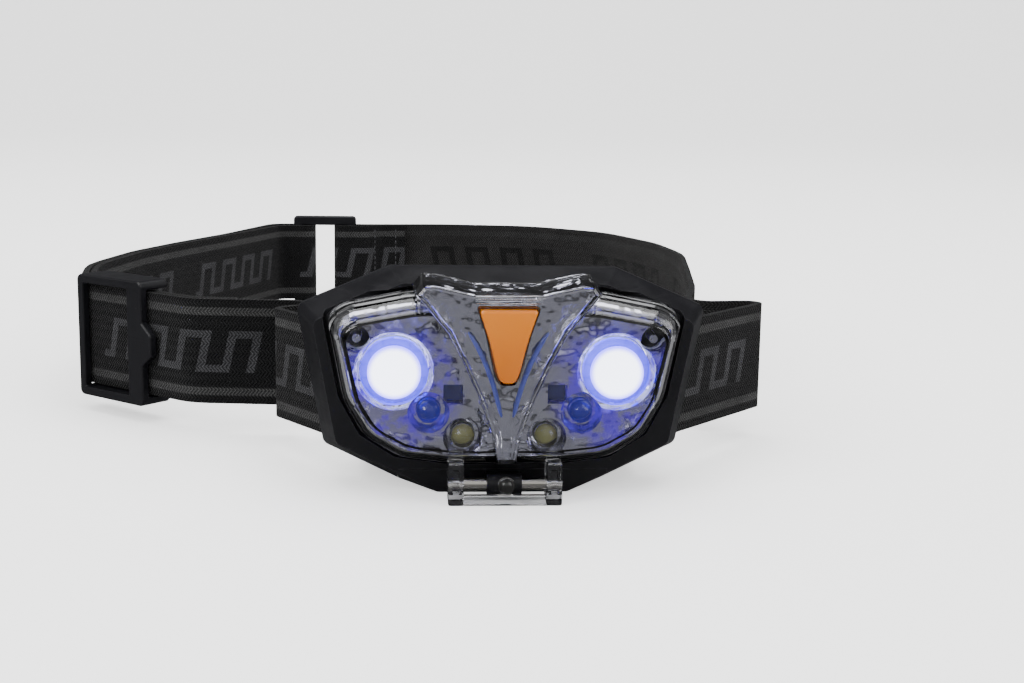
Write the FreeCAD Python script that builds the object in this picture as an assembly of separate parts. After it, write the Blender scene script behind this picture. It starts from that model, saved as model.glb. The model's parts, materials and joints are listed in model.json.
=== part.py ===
"""Headlamp: tilting lamp head on a battery case, with an adjustable webbing headband.

Millimetres. Z is up, the lamp faces -Y, and the origin is the centre of the flat underside.
"""
import math
import os

import FreeCAD as App
import Part

V = App.Vector

# Base body, outlines as (x, z) from the lowest right corner, anticlockwise
BODY = [(21.5, 0), (37.9, 8.2), (43.4, 38), (23.9, 46.4)]
BODY_SIDES = [3.5, 3.5, 3.0]
BODY_TOP_SIDE = 2.0
REAR = [(14, 0), (31, 4.5), (31, 40), (24, 41.5)]
DOOR = [(12, 2), (29, 6.5), (29, 34.5), (19, 38)]
CORNER_R = 2.0
FRONT_Y = -12.0
BROAD_Y = -2.0
CASE_BACK_Y = 14.0
WALL = 1.5
POCKET_Y = -9.2
POCKET_GAP = 0.85

# Lamp head
LENS = [
    (11.5, 7.0), (22.1, 8.4), (29.4, 13.1), (33.5, 20.9), (36.6, 37.5), (33.8, 40.2), (20, 43.0),
]
HEAD_BACK_Y = -9.5
RIM_Y = -11.0
LENS_WALL = 1.3
WING_STEPS = [(-11.0, 0.0), (-15.0, 0.4), (-18.6, 1.8), (-20.6, 4.5)]
RIDGE = [
    (2.4, 9), (3.2, 15), (5.9, 22.3), (9.4, 30.2), (12.4, 36), (19.2, 44.2),
    (17.2, 46.6), (14.5, 46.6), (6.5, 44.8),
]
RIDGE_STEPS = [(-12.3, 0.0), (-20.0, 0.25), (-25.4, 1.5)]
BUTTON = [(1.2, 26.4), (6.0, 41.2)]
BUTTON_MID_Z = 34.0
BUTTON_GAP = 0.3
BUTTON_FRONT_Y = -25.8
MAIN_AT = (22.7, 27.1)
BLUE_AT = (15.7, 18.5)
WHITE_AT = (8.6, 13.3)
POST_AT = (30.3, 33.7)
WINDOW_AT = (10.7, 22.4)
MAIN_R = 6.9
BLUE_R = 3.9
WHITE_R = 3.7
LED_R = 2.35
CUP_TAPER = 0.68
CUP_DEPTH = 2.2
CUP_SKIN = 0.5

# Tilt hinge
PIN_Y = -17.0
PIN_Z = 3.2
PIN_R = 1.3
RUN_GAP = 0.05
KNUCKLE_R = 2.2
KNUCKLE_HALF = 3.6
EAR_IN = 8.5
EAR_OUT = 11.7

# Case screws
UPPER_SCREW = (28.2, 38.4)
LOWER_SCREW = (15.5, 3.2)

# Three AAA cells, 10.5 x 44.5
CELL_R = 5.2
CELL_LEN = 43.3
NUB_R = 1.9
NUB_LEN = 1.1
CELL_Y = 7.0
CELL_Z = [11.4, 22.2, 33.0]
CAVITY_X = 25.0

# Battery door
DOOR_PIN_Y = 15.6
DOOR_PIN_Z = 39.9
DOOR_PIN_R = 0.8

# Webbing, 25 wide, and its buckles
WEB_T = 1.6
WEB_W = 25.0
WEB_Z = 20.5
SLOT_Y = 3.5
LAYER = 2.1
LOOP_R = 2.6
RING_AT = (-48.0, 205.0)
RING_LEN = 21.0
RING_H = 31.0
RING_BAR = 3.0
SLIDER_AT = (-90.5, 55.0)
SLIDER_DEG = 139.0
SLIDER_LEN = 24.0
SLIDER_H = 30.5
SAG_DEG = math.degrees(math.asin((WEB_Z - RING_H / 2) / (RING_AT[1] - SLOT_Y)))

SIDES = (("left", -1), ("right", 1))


def mirrored(half):
    """A whole outline from its right half."""
    return half + [(-x, z) for x, z in reversed(half)]


def moved_in(corners, gaps):
    """An outline whose sides are each moved inwards by their gap."""
    n = len(corners)
    moved = []
    for i in range(n):
        (ax, az), (bx, bz) = corners[i], corners[(i + 1) % n]
        run = math.hypot(bx - ax, bz - az)
        nx, nz = -(bz - az) / run, (bx - ax) / run
        moved.append((ax + nx * gaps[i], az + nz * gaps[i], bx - ax, bz - az))
    out = []
    for i in range(n):
        px, pz, pu, pw = moved[i - 1]
        qx, qz, qu, qw = moved[i]
        t = ((qx - px) * qw - (qz - pz) * qu) / (pu * qw - pw * qu)
        out.append((px + pu * t, pz + pw * t))
    return out


def inset(half, gap):
    """A mirrored outline, smaller all round by the gap."""
    whole = mirrored(half)
    return moved_in(whole, [gap] * len(whole))


def corner(before, at, after, radius):
    """The start, middle and end of the arc that rounds a corner, and its centre."""
    u, v = (before - at).normalize(), (after - at).normalize()
    half = u.getAngle(v) / 2
    reach = radius / math.tan(half)
    middle = (u + v).normalize()
    centre = at + middle * (radius / math.sin(half))
    return at + u * reach, centre - middle * radius, at + v * reach, centre


def loop(corners, y, radius):
    """A closed outline at one depth, its corners rounded."""
    pts = [V(x, y, z) for x, z in corners]
    n = len(pts)
    if not radius:
        return Part.makePolygon(pts + [pts[0]])
    arcs = [corner(pts[i - 1], pts[i], pts[(i + 1) % n], radius) for i in range(n)]
    edges = []
    for i in range(n):
        start, middle, end, _ = arcs[i]
        edges.append(Part.Arc(start, middle, end).toShape())
        edges.append(Part.makeLine(end, arcs[(i + 1) % n][0]))
    return Part.Wire(edges)


def plate(corners, y0, y1, radius=0):
    """An outline given thickness along Y."""
    return Part.Face(loop(corners, y0, radius)).extrude(V(0, y1 - y0, 0))


def block(x0, x1, y0, y1, z0, z1):
    """A box between two corners."""
    return Part.makeBox(x1 - x0, y1 - y0, z1 - z0, V(x0, y0, z0))


def rod(x, z, r, y0, y1):
    """A round rod along Y."""
    return Part.makeCylinder(r, y1 - y0, V(x, y0, z), V(0, 1, 0))


def cross_rod(x0, x1, y, z, r):
    """A round rod along X."""
    return Part.makeCylinder(r, x1 - x0, V(x0, y, z), V(1, 0, 0))


def together(shapes):
    """Several solids fused into one."""
    return shapes[0].multiFuse(shapes[1:]).removeSplitter()


def sunk(shape):
    """A headband piece, sloped so that the back of the band reaches the ground."""
    shape.rotate(V(0, SLOT_Y, WEB_Z), V(1, 0, 0), -SAG_DEG)
    return shape


# Base


def bezel_blank():
    """The faceted base body before the hinge piece is cut from it."""
    whole = mirrored(BODY)
    gaps = BODY_SIDES + [BODY_TOP_SIDE] + BODY_SIDES[::-1] + [0]
    front = moved_in(whole, gaps)
    shape = Part.makeLoft(
        [loop(front, FRONT_Y, CORNER_R), loop(whole, BROAD_Y, CORNER_R)], True, True
    )
    shape = shape.fuse(plate(whole, BROAD_Y, 0, CORNER_R)).removeSplitter()
    pocket = plate(inset(LENS, -POCKET_GAP), FRONT_Y - 1, POCKET_Y, CORNER_R)
    hollow = plate(moved_in(whole, [5.2] * len(whole)), POCKET_Y + WALL, 0.1)
    return shape.cut(pocket).cut(hollow)


def front_bezel():
    """The base body with the ribs that clamp the webbing's ends."""
    shape = bezel_blank().cut(block(-22.05, 22.05, FRONT_Y - 1, 1, -1, 5.05))
    low, high = WEB_Z - WEB_W / 2 + 0.4, WEB_Z + WEB_W / 2 - 0.4
    ribs = [block(s * 28.7 - 1.9, s * 28.7 + 1.9, -3, 2.0, low, high) for _, s in SIDES]
    webs = [block(s * 31 - 4.2, s * 31 + 4.2, -3, 0, low, high) for _, s in SIDES]
    upper = [(s * UPPER_SCREW[0], UPPER_SCREW[1]) for _, s in SIDES]
    holes = [rod(x, z, 0.9, -6, 0.1) for x, z in upper]
    bosses = [rod(x, z, 2.3, POCKET_Y + WALL, 0) for x, z in upper]
    shape = together([shape] + ribs + webs + bosses)
    for hole in holes:
        shape = shape.cut(hole)
    return shape


def hinge_block():
    """The bottom middle piece of the base, with the hinge's knuckle."""
    piece = bezel_blank().common(block(-22, 22, FRONT_Y - 1, 1, -1, 5))
    arm = block(-KNUCKLE_HALF, KNUCKLE_HALF, PIN_Y, FRONT_Y + 0.6, PIN_Z - 1.6, PIN_Z + 1.5)
    knuckle = cross_rod(-KNUCKLE_HALF, KNUCKLE_HALF, PIN_Y, PIN_Z, KNUCKLE_R)
    piece = together([piece, arm, knuckle])
    for _, s in SIDES:
        piece = piece.cut(rod(s * LOWER_SCREW[0], LOWER_SCREW[1], 0.9, -6, 0.1))
    return piece.cut(cross_rod(-9, 9, PIN_Y, PIN_Z, PIN_R + RUN_GAP))


def case_screw_places():
    """The four screws that join the case to the bezel."""
    return [(s * x, z) for _, s in SIDES for x, z in (UPPER_SCREW, LOWER_SCREW)]


def rear_case():
    """The battery case, with a slit at each side for the webbing."""
    shape = plate(mirrored(REAR), 0, CASE_BACK_Y, CORNER_R)
    room = plate(inset(REAR, WALL), WALL, CASE_BACK_Y + 1)
    shape = shape.cut(room.common(block(-CAVITY_X, CAVITY_X, 0, CASE_BACK_Y + 2, 5.6, 38.8)))
    low, high = WEB_Z - WEB_W / 2 - 0.6, WEB_Z + WEB_W / 2 + 0.6
    for _, s in SIDES:
        inner = block(min(s * 26.3, s * 29.8), max(s * 26.3, s * 29.8), -1, 7.4, low, high)
        slit = block(min(s * 29.7, s * 32), max(s * 29.7, s * 32), -1, 5.0, low, high)
        shape = shape.cut(inner).cut(slit)
    for x, z in case_screw_places():
        shape = shape.cut(rod(x, z, 1.05, -1, CASE_BACK_Y + 1))
        shape = shape.cut(rod(x, z, 1.8, CASE_BACK_Y - 1.6, CASE_BACK_Y + 1))
    lugs = []
    for _, s in SIDES:
        lugs.append(block(s * 17.5 - 1.4, s * 17.5 + 1.4, 11, DOOR_PIN_Y, 38.3, 41.5))
        lugs.append(cross_rod(s * 17.5 - 1.4, s * 17.5 + 1.4, DOOR_PIN_Y, DOOR_PIN_Z, 1.6))
    shape = together([shape] + lugs)
    shape = shape.cut(block(-15.9, 15.9, 13.5, 18, 37.6, 43))
    return shape.cut(cross_rod(-20, 20, DOOR_PIN_Y, DOOR_PIN_Z, DOOR_PIN_R))


def case_screws():
    """Four pan-head screws."""
    screws = []
    for x, z in case_screw_places():
        head = rod(x, z, 1.65, CASE_BACK_Y - 1.6, CASE_BACK_Y - 0.4)
        slot = block(x - 0.25, x + 0.25, CASE_BACK_Y - 0.9, CASE_BACK_Y, z - 1.3, z + 1.3)
        screws.append(head.cut(slot).fuse(rod(x, z, 0.88, -5.5, CASE_BACK_Y - 1.6)))
    return Part.makeCompound(screws)


def cell(z, way):
    """One AAA cell, its nub to the right when way is 1."""
    x0 = -CELL_LEN / 2 - way * NUB_LEN / 2
    can = cross_rod(x0, x0 + CELL_LEN, CELL_Y, z, CELL_R)
    if way > 0:
        nub = cross_rod(x0 + CELL_LEN, x0 + CELL_LEN + NUB_LEN, CELL_Y, z, NUB_R)
    else:
        nub = cross_rod(x0 - NUB_LEN, x0, CELL_Y, z, NUB_R)
    return can.fuse(nub)


def contacts(side):
    """The bent metal strips at one end of the cells, one for each cell."""
    strips = []
    for z in CELL_Z:
        x = side * (CAVITY_X - 0.25)
        strip = block(x - 0.2, x + 0.2, CELL_Y - 4, CELL_Y + 4, z - 4, z + 4)
        lip = block(x - 0.2 - side * 0.8, x + 0.2 - side * 0.8, CELL_Y - 2, CELL_Y + 2, z - 2, z + 2)
        bridge = block(
            min(x, x - side * 0.8), max(x, x - side * 0.8), CELL_Y - 2, CELL_Y - 1.4, z - 2, z + 2
        )
        strips.append(together([strip, lip, bridge]))
    return Part.makeCompound(strips)


def battery_springs():
    """Three short springs of two wire coils, at the flat end of each cell."""
    coils = []
    for z, way in zip(CELL_Z, (1, -1, 1)):
        end = -way * (CELL_LEN + NUB_LEN) / 2
        wide = Part.makeTorus(3.2, 0.25, V(end - way * 1.3, CELL_Y, z), V(1, 0, 0))
        narrow = Part.makeTorus(2.4, 0.25, V(end - way * 0.35, CELL_Y, z), V(1, 0, 0))
        link = Part.makeCylinder(
            0.25, 1.24, V(end - way * 1.3, CELL_Y, z + 3.2), V(way * 0.95, 0, -0.8)
        )
        coils.append(together([wide, narrow, link]))
    return Part.makeCompound(coils)


def indicator_led():
    """The small clear dome in front of the hinge's knuckle."""
    body = Part.makeCylinder(1.7, 1.0, V(0.3, PIN_Y - KNUCKLE_R - 0.9, PIN_Z + 0.5), V(0, 1, 0))
    dome = Part.makeSphere(1.7, V(0.3, PIN_Y - KNUCKLE_R - 0.9, PIN_Z + 0.5))
    dome = dome.common(block(-2, 3, PIN_Y - 6, PIN_Y - KNUCKLE_R - 0.9, 0, 8))
    knuckle = cross_rod(-KNUCKLE_HALF, KNUCKLE_HALF, PIN_Y, PIN_Z, KNUCKLE_R)
    return body.fuse(dome).cut(knuckle).removeSplitter()


# Battery door


def battery_door():
    """The rear cover, hung on the pin along its top edge."""
    shape = plate(mirrored(DOOR), CASE_BACK_Y + 0.2, CASE_BACK_Y + 1.8, CORNER_R)
    rim = block(-24.2, 24.2, CASE_BACK_Y - 1.2, CASE_BACK_Y + 0.2, 8, 36.5)
    rim = rim.cut(block(-23, 23, CASE_BACK_Y - 2, CASE_BACK_Y + 0.2, 9.2, 35.3))
    barrel = cross_rod(-15.6, 15.6, DOOR_PIN_Y, DOOR_PIN_Z, 1.6)
    leaf = block(-15.6, 15.6, CASE_BACK_Y + 0.4, CASE_BACK_Y + 1.8, 36, DOOR_PIN_Z)
    tab = block(-5, 5, CASE_BACK_Y + 0.2, CASE_BACK_Y + 3.2, 2.0, 3.4)
    shape = together([shape, rim, barrel, leaf, tab])
    lug_room = [
        block(s * 17.5 - 1.7, s * 17.5 + 1.7, 13, 19, 37.7, 43) for _, s in SIDES
    ]
    for room in lug_room:
        shape = shape.cut(room)
    return shape.cut(cross_rod(-17, 17, DOOR_PIN_Y, DOOR_PIN_Z, DOOR_PIN_R + RUN_GAP))


def forehead_pad():
    """The soft pad on the door."""
    return plate(inset(DOOR, 2.6), CASE_BACK_Y + 1.8, CASE_BACK_Y + 6.0, 3.0)


# Lamp head


def dome(half, steps, shrink):
    """A stepped dome from an outline, smaller all round by shrink."""
    shape = None
    for (y0, in0), (y1, in1) in zip(steps, steps[1:]):
        wires = [loop(inset(half, g + shrink), y, 0) for y, g in ((y0, in0), (y1, in1))]
        layer = Part.makeLoft(wires, True, True)
        shape = layer if shape is None else shape.fuse(layer)
    return shape.removeSplitter()


def button_hole():
    """The opening in the front cover that the button slides in."""
    return plate(inset(BUTTON, -BUTTON_GAP), -30, -18)


def front_lens():
    """The clear cover: two wings, the raised ridge and the hinge's ears."""
    inner_wing = [(y + (LENS_WALL if i else -0.1), g) for i, (y, g) in enumerate(WING_STEPS)]
    inner_wing[0] = (RIM_Y + 0.1, 0.0)
    inner_ridge = [(y + (LENS_WALL if i else 0), g) for i, (y, g) in enumerate(RIDGE_STEPS)]
    inner_ridge[0] = (RIM_Y - 0.2, 0.0)
    outer = dome(LENS, WING_STEPS, 0).fuse(dome(RIDGE, RIDGE_STEPS, 0))
    shape = outer.cut(dome(LENS, inner_wing, LENS_WALL)).cut(dome(RIDGE, inner_ridge, LENS_WALL))
    shape = shape.cut(button_hole())
    extras = []
    for _, s in SIDES:
        x0 = min(s * EAR_IN, s * EAR_OUT)
        x1 = max(s * EAR_IN, s * EAR_OUT)
        ear = cross_rod(x0, x1, PIN_Y, PIN_Z, 2.4)
        post = block(x0, x1, PIN_Y - 5.0, PIN_Y + 1.6, PIN_Z, 8.6)
        foot = block(x0, x1, PIN_Y - 5.0, PIN_Y, 0, PIN_Z)
        extras += [ear, post, foot]
        extras.append(rod(s * POST_AT[0], POST_AT[1], 2.3, -17.4, -12.4))
    extras.append(block(-EAR_OUT, EAR_OUT, PIN_Y - 5.0, PIN_Y - 3.4, 0, 1.8))
    shape = together([shape] + extras)
    for _, s in SIDES:
        shape = shape.cut(rod(s * POST_AT[0], POST_AT[1], 0.9, -16.4, -8))
    return shape.cut(cross_rod(-13, 13, PIN_Y, PIN_Z, PIN_R))


def head_back():
    """The tray that closes the back of the lamp head."""
    shape = plate(mirrored(LENS), RIM_Y, HEAD_BACK_Y)
    for _, s in SIDES:
        shape = shape.cut(rod(s * POST_AT[0], POST_AT[1], 1.0, -12, -9))
        shape = shape.cut(rod(s * POST_AT[0], POST_AT[1], 2.0, -10.4, -9))
    return shape


def head_screws():
    """Two screws from the tray into the front cover's posts."""
    screws = []
    for _, s in SIDES:
        x, z = s * POST_AT[0], POST_AT[1]
        screws.append(rod(x, z, 1.9, -10.4, -9.6).fuse(rod(x, z, 0.88, -15.5, -10.4)))
    return Part.makeCompound(screws)


def circuit_board():
    """The board behind the reflector."""
    shape = plate(inset(LENS, LENS_WALL + 0.5), RIM_Y - 1.2, RIM_Y)
    for _, s in SIDES:
        shape = shape.cut(rod(s * POST_AT[0], POST_AT[1], 2.6, -13, -10))
    return shape


def lamp_places():
    """Each reflector cup's place and mouth radius."""
    spots = ((MAIN_AT, MAIN_R), (BLUE_AT, BLUE_R), (WHITE_AT, WHITE_R))
    return [(s * x, z, r) for _, s in SIDES for (x, z), r in spots]


def cup_cone(x, z, r, skin):
    """The cone of one cup, thicker all round by its skin."""
    front = V(x, -12.8 - CUP_DEPTH, z)
    return Part.makeCone(r + skin, r * CUP_TAPER + skin, CUP_DEPTH, front, V(0, 1, 0))


def reflector():
    """The bright-plated plate with a cup round each LED."""
    shape = plate(inset(LENS, LENS_WALL + 0.6), -13.6, -12.8)
    for _, s in SIDES:
        shape = shape.cut(rod(s * POST_AT[0], POST_AT[1], 2.6, -15, -12))
        wx, wz = s * WINDOW_AT[0], WINDOW_AT[1]
        shape = shape.cut(block(wx - 2, wx + 2, -15, -12, wz - 2, wz + 2))
    shape = shape.cut(block(-3.4, 3.4, -15, -12, BUTTON_MID_Z - 3.4, BUTTON_MID_Z + 3.4))
    shape = together([shape] + [cup_cone(*place, CUP_SKIN) for place in lamp_places()])
    for place in lamp_places():
        shape = shape.cut(cup_cone(*place, 0))
    return shape.common(plate(inset(LENS, LENS_WALL + 1.0), -15.5, -12))


def main_lens(side):
    """A clear collimator: a cone with a raised round face."""
    x, z = side * MAIN_AT[0], MAIN_AT[1]
    cone = Part.makeCone(5.4, 3.3, 2.4, V(x, -16.0, z), V(0, 1, 0))
    face = rod(x, z, 5.4, -18.2, -16.0)
    return cone.fuse(face).removeSplitter()


def main_ring(side):
    """The barrel that holds a collimator."""
    x, z = side * MAIN_AT[0], MAIN_AT[1]
    return rod(x, z, MAIN_R, -17.2, -15.05).cut(rod(x, z, 5.45, -18, -14))


def main_led(side):
    """A power LED: square base and low dome."""
    x, z = side * MAIN_AT[0], MAIN_AT[1]
    base = block(x - 1.75, x + 1.75, -13.0, RIM_Y - 1.2, z - 1.75, z + 1.75)
    return base.fuse(rod(x, z, 1.3, -13.5, -13.0)).removeSplitter()


def round_led(x, z):
    """A round-topped LED standing on the board."""
    top = -15.2
    stem = rod(x, z, LED_R, top, RIM_Y - 1.2)
    ball = Part.makeSphere(LED_R, V(x, top, z))
    ball = ball.common(block(x - 4, x + 4, top - 4, top, z - 4, z + 4))
    return stem.fuse(ball).removeSplitter()


def window(side):
    """A small tinted square in the reflector."""
    x, z = side * WINDOW_AT[0], WINDOW_AT[1]
    return block(x - 1.9, x + 1.9, -14.0, RIM_Y - 1.2, z - 1.9, z + 1.9)


def light_guide(side):
    """A slim tinted bar inside one arm of the ridge."""
    a, b = V(side * 1.5, -21.5, 20.6), V(side * 8.0, -21.5, 36.0)
    along = (b - a).normalize()
    across = V(along.z, 0, -along.x) * 0.55
    pts = [a - across, b - across, b + across, a + across, a - across]
    return Part.Face(Part.makePolygon(pts)).extrude(V(0, -1.6, 0))


def tact_switch():
    """The switch under the button."""
    body = block(-3, 3, -14.6, RIM_Y - 1.2, BUTTON_MID_Z - 3, BUTTON_MID_Z + 3)
    return body.fuse(rod(0, BUTTON_MID_Z, 1.7, -15.2, -14.6)).removeSplitter()


def hinge_pin():
    """The tilt hinge's pin, pressed in the ears."""
    return cross_rod(-EAR_OUT, EAR_OUT, PIN_Y, PIN_Z, PIN_R)


def button():
    """The push button, its flange behind the cover and its stem on the switch."""
    cap = plate(mirrored(BUTTON), BUTTON_FRONT_Y, -21.0)
    flange = plate(inset(BUTTON, -0.6), -22.6, -21.6)
    stem = rod(0, BUTTON_MID_Z, 1.5, -21.6, -16.2)
    return together([cap, flange, stem])


# Headband


def ribbon(path):
    """Webbing that stands on edge and follows a path of (x, y, bend radius)."""
    half = WEB_T / 2
    z0 = WEB_Z - WEB_W / 2
    pts = [V(x, y, z0) for x, y, _ in path]
    last = len(pts) - 1
    bends = [corner(pts[i - 1], pts[i], pts[i + 1], path[i][2]) for i in range(1, last)]
    edges, ends = [], []
    for side in (1, -1):
        first, final = pts[1] - pts[0], pts[last] - pts[last - 1]
        at = pts[0] + V(-first.y, first.x, 0).normalize() * half * side
        ends.append(at)
        for i, (start, middle, end, centre) in enumerate(bends, 1):
            turn = (pts[i] - pts[i - 1]).cross(pts[i + 1] - pts[i]).z
            scale = 1 - math.copysign(half, turn) * side / path[i][2]
            a, m, b = [centre + (p - centre) * scale for p in (start, middle, end)]
            edges.append(Part.makeLine(at, a))
            edges.append(Part.Arc(a, m, b).toShape())
            at = b
        stop = pts[last] + V(-final.y, final.x, 0).normalize() * half * side
        edges.append(Part.makeLine(at, stop))
        ends.append(stop)
    edges.append(Part.makeLine(ends[0], ends[2]))
    edges.append(Part.makeLine(ends[1], ends[3]))
    face = Part.Face(Part.Wire(Part.__sortEdges__(edges)))
    return face.extrude(V(0, 0, WEB_W))


def beside(path, gap):
    """An open path moved sideways by the gap, its bends kept parallel."""
    out = []
    for i in range(1, len(path) - 1):
        p, q, r = [V(x, y, 0) for x, y, _ in path[i - 1:i + 2]]
        u, w = (q - p).normalize(), (r - q).normalize()
        nu, nw = V(-u.y, u.x, 0), V(-w.y, w.x, 0)
        spot = q + (nu + nw).normalize() * (gap / math.cos(nu.getAngle(nw) / 2))
        turn = math.copysign(1, u.cross(w).z)
        out.append((spot.x, spot.y, path[i][2] - turn * gap))
    return out


def front_end(side):
    """The folded end of the webbing, caught in the case, and the way out."""
    return [
        (side * 29.3, SLOT_Y + 2.1, 0), (side * 27.2, SLOT_Y + 2.1, 1.04),
        (side * 27.2, SLOT_Y, 1.04), (side * 35.5, SLOT_Y, 4),
    ]


def strap_long():
    """The adjustable webbing: out of the case, through the slider, round the ring and back."""
    outer = [
        (-50.3, 25, 2.6), (-36, 34.5, 4), (-71, 38.2, 12), (-101.7, 64.8, 8),
        (-106, 98, 40), (-99, 128, 40), (-90, 150, 60), (-78, 175, 40), (-65.5, 207.6, 6),
    ]
    x_turn = RING_AT[0] - 3.9
    y_out, y_in = RING_AT[1] + LOOP_R, RING_AT[1] - LOOP_R
    back = beside(outer[1:] + [(x_turn, y_out, 0)], -LAYER)
    turn = [(x_turn, y_out, LOOP_R - 0.02), (x_turn, y_in, LOOP_R - 0.02)]
    inner = [(-63.6, y_in, 5)] + list(reversed(back[:-1])) + [(-60, 38.9, 0)]
    return sunk(ribbon(front_end(-1) + outer + turn + inner))


def strap_short():
    """The fixed webbing: sewn round the ring and caught in the case's right side."""
    x_turn = RING_AT[0] + 3.9
    y_out, y_in = RING_AT[1] + LOOP_R, RING_AT[1] - LOOP_R
    sewn = [(-21, 206.35, 0), (-29, 205.8, 3), (-34.5, y_in, 3)]
    turn = [(x_turn, y_in, LOOP_R - 0.02), (x_turn, y_out, LOOP_R - 0.02)]
    main = [
        (-34.5, y_out, 8), (-8, 209.5, 40), (22, 205.5, 30), (45, 188, 30), (57.5, 158, 40),
        (61.5, 130, 60), (57, 95, 80), (52.5, 62, 40), (46.5, 36.5, 5), (67.5, 38.5, 2.6),
    ]
    return sunk(ribbon(sewn + turn + main + list(reversed(front_end(1)))))


def rear_ring():
    """The two-bar ring that joins the two straps."""
    x, y = RING_AT
    hl, hh, hb = RING_LEN / 2, RING_H / 2, RING_BAR / 2
    shape = block(x - hl, x + hl, y - hb, y + hb, WEB_Z - hh, WEB_Z + hh)
    shape = shape.makeFillet(1.2, [e for e in shape.Edges if abs(e.tangentAt(0).y) > 0.9])
    hole = block(
        x - hl + RING_BAR, x + hl - RING_BAR, y - 5, y + 5, WEB_Z - hh + 3, WEB_Z + hh - 3
    )
    return sunk(shape.cut(hole))


def strap_slider():
    """The slider: a deep frame that both layers of webbing pass through."""
    half, high, room = SLIDER_LEN / 2, SLIDER_H / 2, WEB_W / 2 + 0.5
    frame = block(-half, half, -5.4, 3.4, WEB_Z - high, WEB_Z + high)
    frame = frame.makeFillet(1.6, [e for e in frame.Edges if abs(e.tangentAt(0).y) > 0.9])
    frame = frame.cut(block(-half - 1, half + 1, -3.4, 1.2, WEB_Z - room, WEB_Z + room))
    frame = frame.cut(block(-half + 5.4, half - 2.2, 1, 5, WEB_Z - room, WEB_Z + room))
    frame = frame.cut(block(-half - 1, -2.2, -7, -3, WEB_Z - room, WEB_Z + room))
    frame = frame.cut(block(2.2, half + 1, -7, -3, WEB_Z - room, WEB_Z + room))
    tab = [(-half - 3.2, WEB_Z - 2.5), (-half - 3.2, WEB_Z + 2.5), (-half, WEB_Z + 5.2), (-half, WEB_Z - 5.2)]
    shape = frame.fuse(plate(tab, 1.2, 3.4)).removeSplitter()
    shape.rotate(V(0, 0, 0), V(0, 0, 1), SLIDER_DEG)
    shape.translate(V(SLIDER_AT[0], SLIDER_AT[1], 0))
    return sunk(shape)


PARTS = {
    "front_bezel": front_bezel(),
    "hinge_block": hinge_block(),
    "rear_case": rear_case(),
    "case_screws": case_screws(),
    "battery_lower": cell(CELL_Z[0], 1),
    "battery_middle": cell(CELL_Z[1], -1),
    "battery_upper": cell(CELL_Z[2], 1),
    "contacts_left": contacts(-1),
    "contacts_right": contacts(1),
    "battery_springs": battery_springs(),
    "indicator_led": indicator_led(),
    "door_pin": cross_rod(-18.9, 18.9, DOOR_PIN_Y, DOOR_PIN_Z, DOOR_PIN_R),
    "battery_door": battery_door(),
    "forehead_pad": forehead_pad(),
    "front_lens": front_lens(),
    "head_back": head_back(),
    "head_screws": head_screws(),
    "circuit_board": circuit_board(),
    "reflector": reflector(),
    "tact_switch": tact_switch(),
    "hinge_pin": hinge_pin(),
    "button": button(),
    "strap_long": strap_long(),
    "strap_short": strap_short(),
    "rear_ring": rear_ring(),
    "strap_slider": strap_slider(),
}
for name, sign in SIDES:
    PARTS["main_lens_" + name] = main_lens(sign)
    PARTS["main_ring_" + name] = main_ring(sign)
    PARTS["main_led_" + name] = main_led(sign)
    PARTS["blue_led_" + name] = round_led(sign * BLUE_AT[0], BLUE_AT[1])
    PARTS["white_led_" + name] = round_led(sign * WHITE_AT[0], WHITE_AT[1])
    PARTS["window_" + name] = window(sign)
    PARTS["light_guide_" + name] = light_guide(sign)

os.makedirs("parts", exist_ok=True)
for name, shape in PARTS.items():
    shape.exportStep(os.path.join("parts", name + ".step"))
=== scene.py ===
"""Headlamp on its headband: the finished surfaces and soft pieces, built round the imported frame."""
import json
import math

import bmesh
import bpy
from mathutils import Matrix, Quaternion, Vector


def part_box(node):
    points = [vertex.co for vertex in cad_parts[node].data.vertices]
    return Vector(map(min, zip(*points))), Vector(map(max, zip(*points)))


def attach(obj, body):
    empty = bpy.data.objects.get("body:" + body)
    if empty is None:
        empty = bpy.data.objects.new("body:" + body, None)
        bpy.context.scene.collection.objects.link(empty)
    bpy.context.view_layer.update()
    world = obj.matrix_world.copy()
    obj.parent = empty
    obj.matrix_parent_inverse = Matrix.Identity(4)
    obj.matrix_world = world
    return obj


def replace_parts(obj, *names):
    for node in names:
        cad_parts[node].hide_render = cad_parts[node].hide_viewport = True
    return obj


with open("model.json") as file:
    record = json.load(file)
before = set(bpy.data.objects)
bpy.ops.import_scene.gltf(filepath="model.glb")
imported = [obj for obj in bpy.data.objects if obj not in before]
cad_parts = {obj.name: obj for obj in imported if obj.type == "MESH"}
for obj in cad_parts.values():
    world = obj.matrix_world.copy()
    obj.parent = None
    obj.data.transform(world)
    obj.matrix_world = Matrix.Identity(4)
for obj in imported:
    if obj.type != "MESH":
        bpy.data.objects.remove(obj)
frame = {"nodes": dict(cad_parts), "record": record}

MM = 0.001
X_AXIS, Y_AXIS, Z_AXIS = Vector((1, 0, 0)), Vector((0, 1, 0)), Vector((0, 0, 1))
SIDES = (("left", -1), ("right", 1))
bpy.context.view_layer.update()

# Camera, millimetres and degrees
EYE = Vector((-20.25, -327.84, 97.43))
TARGET = Vector((1.654, -10.0, 31.935))
ROLL = 0.963
FOCAL = 55.0

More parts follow.
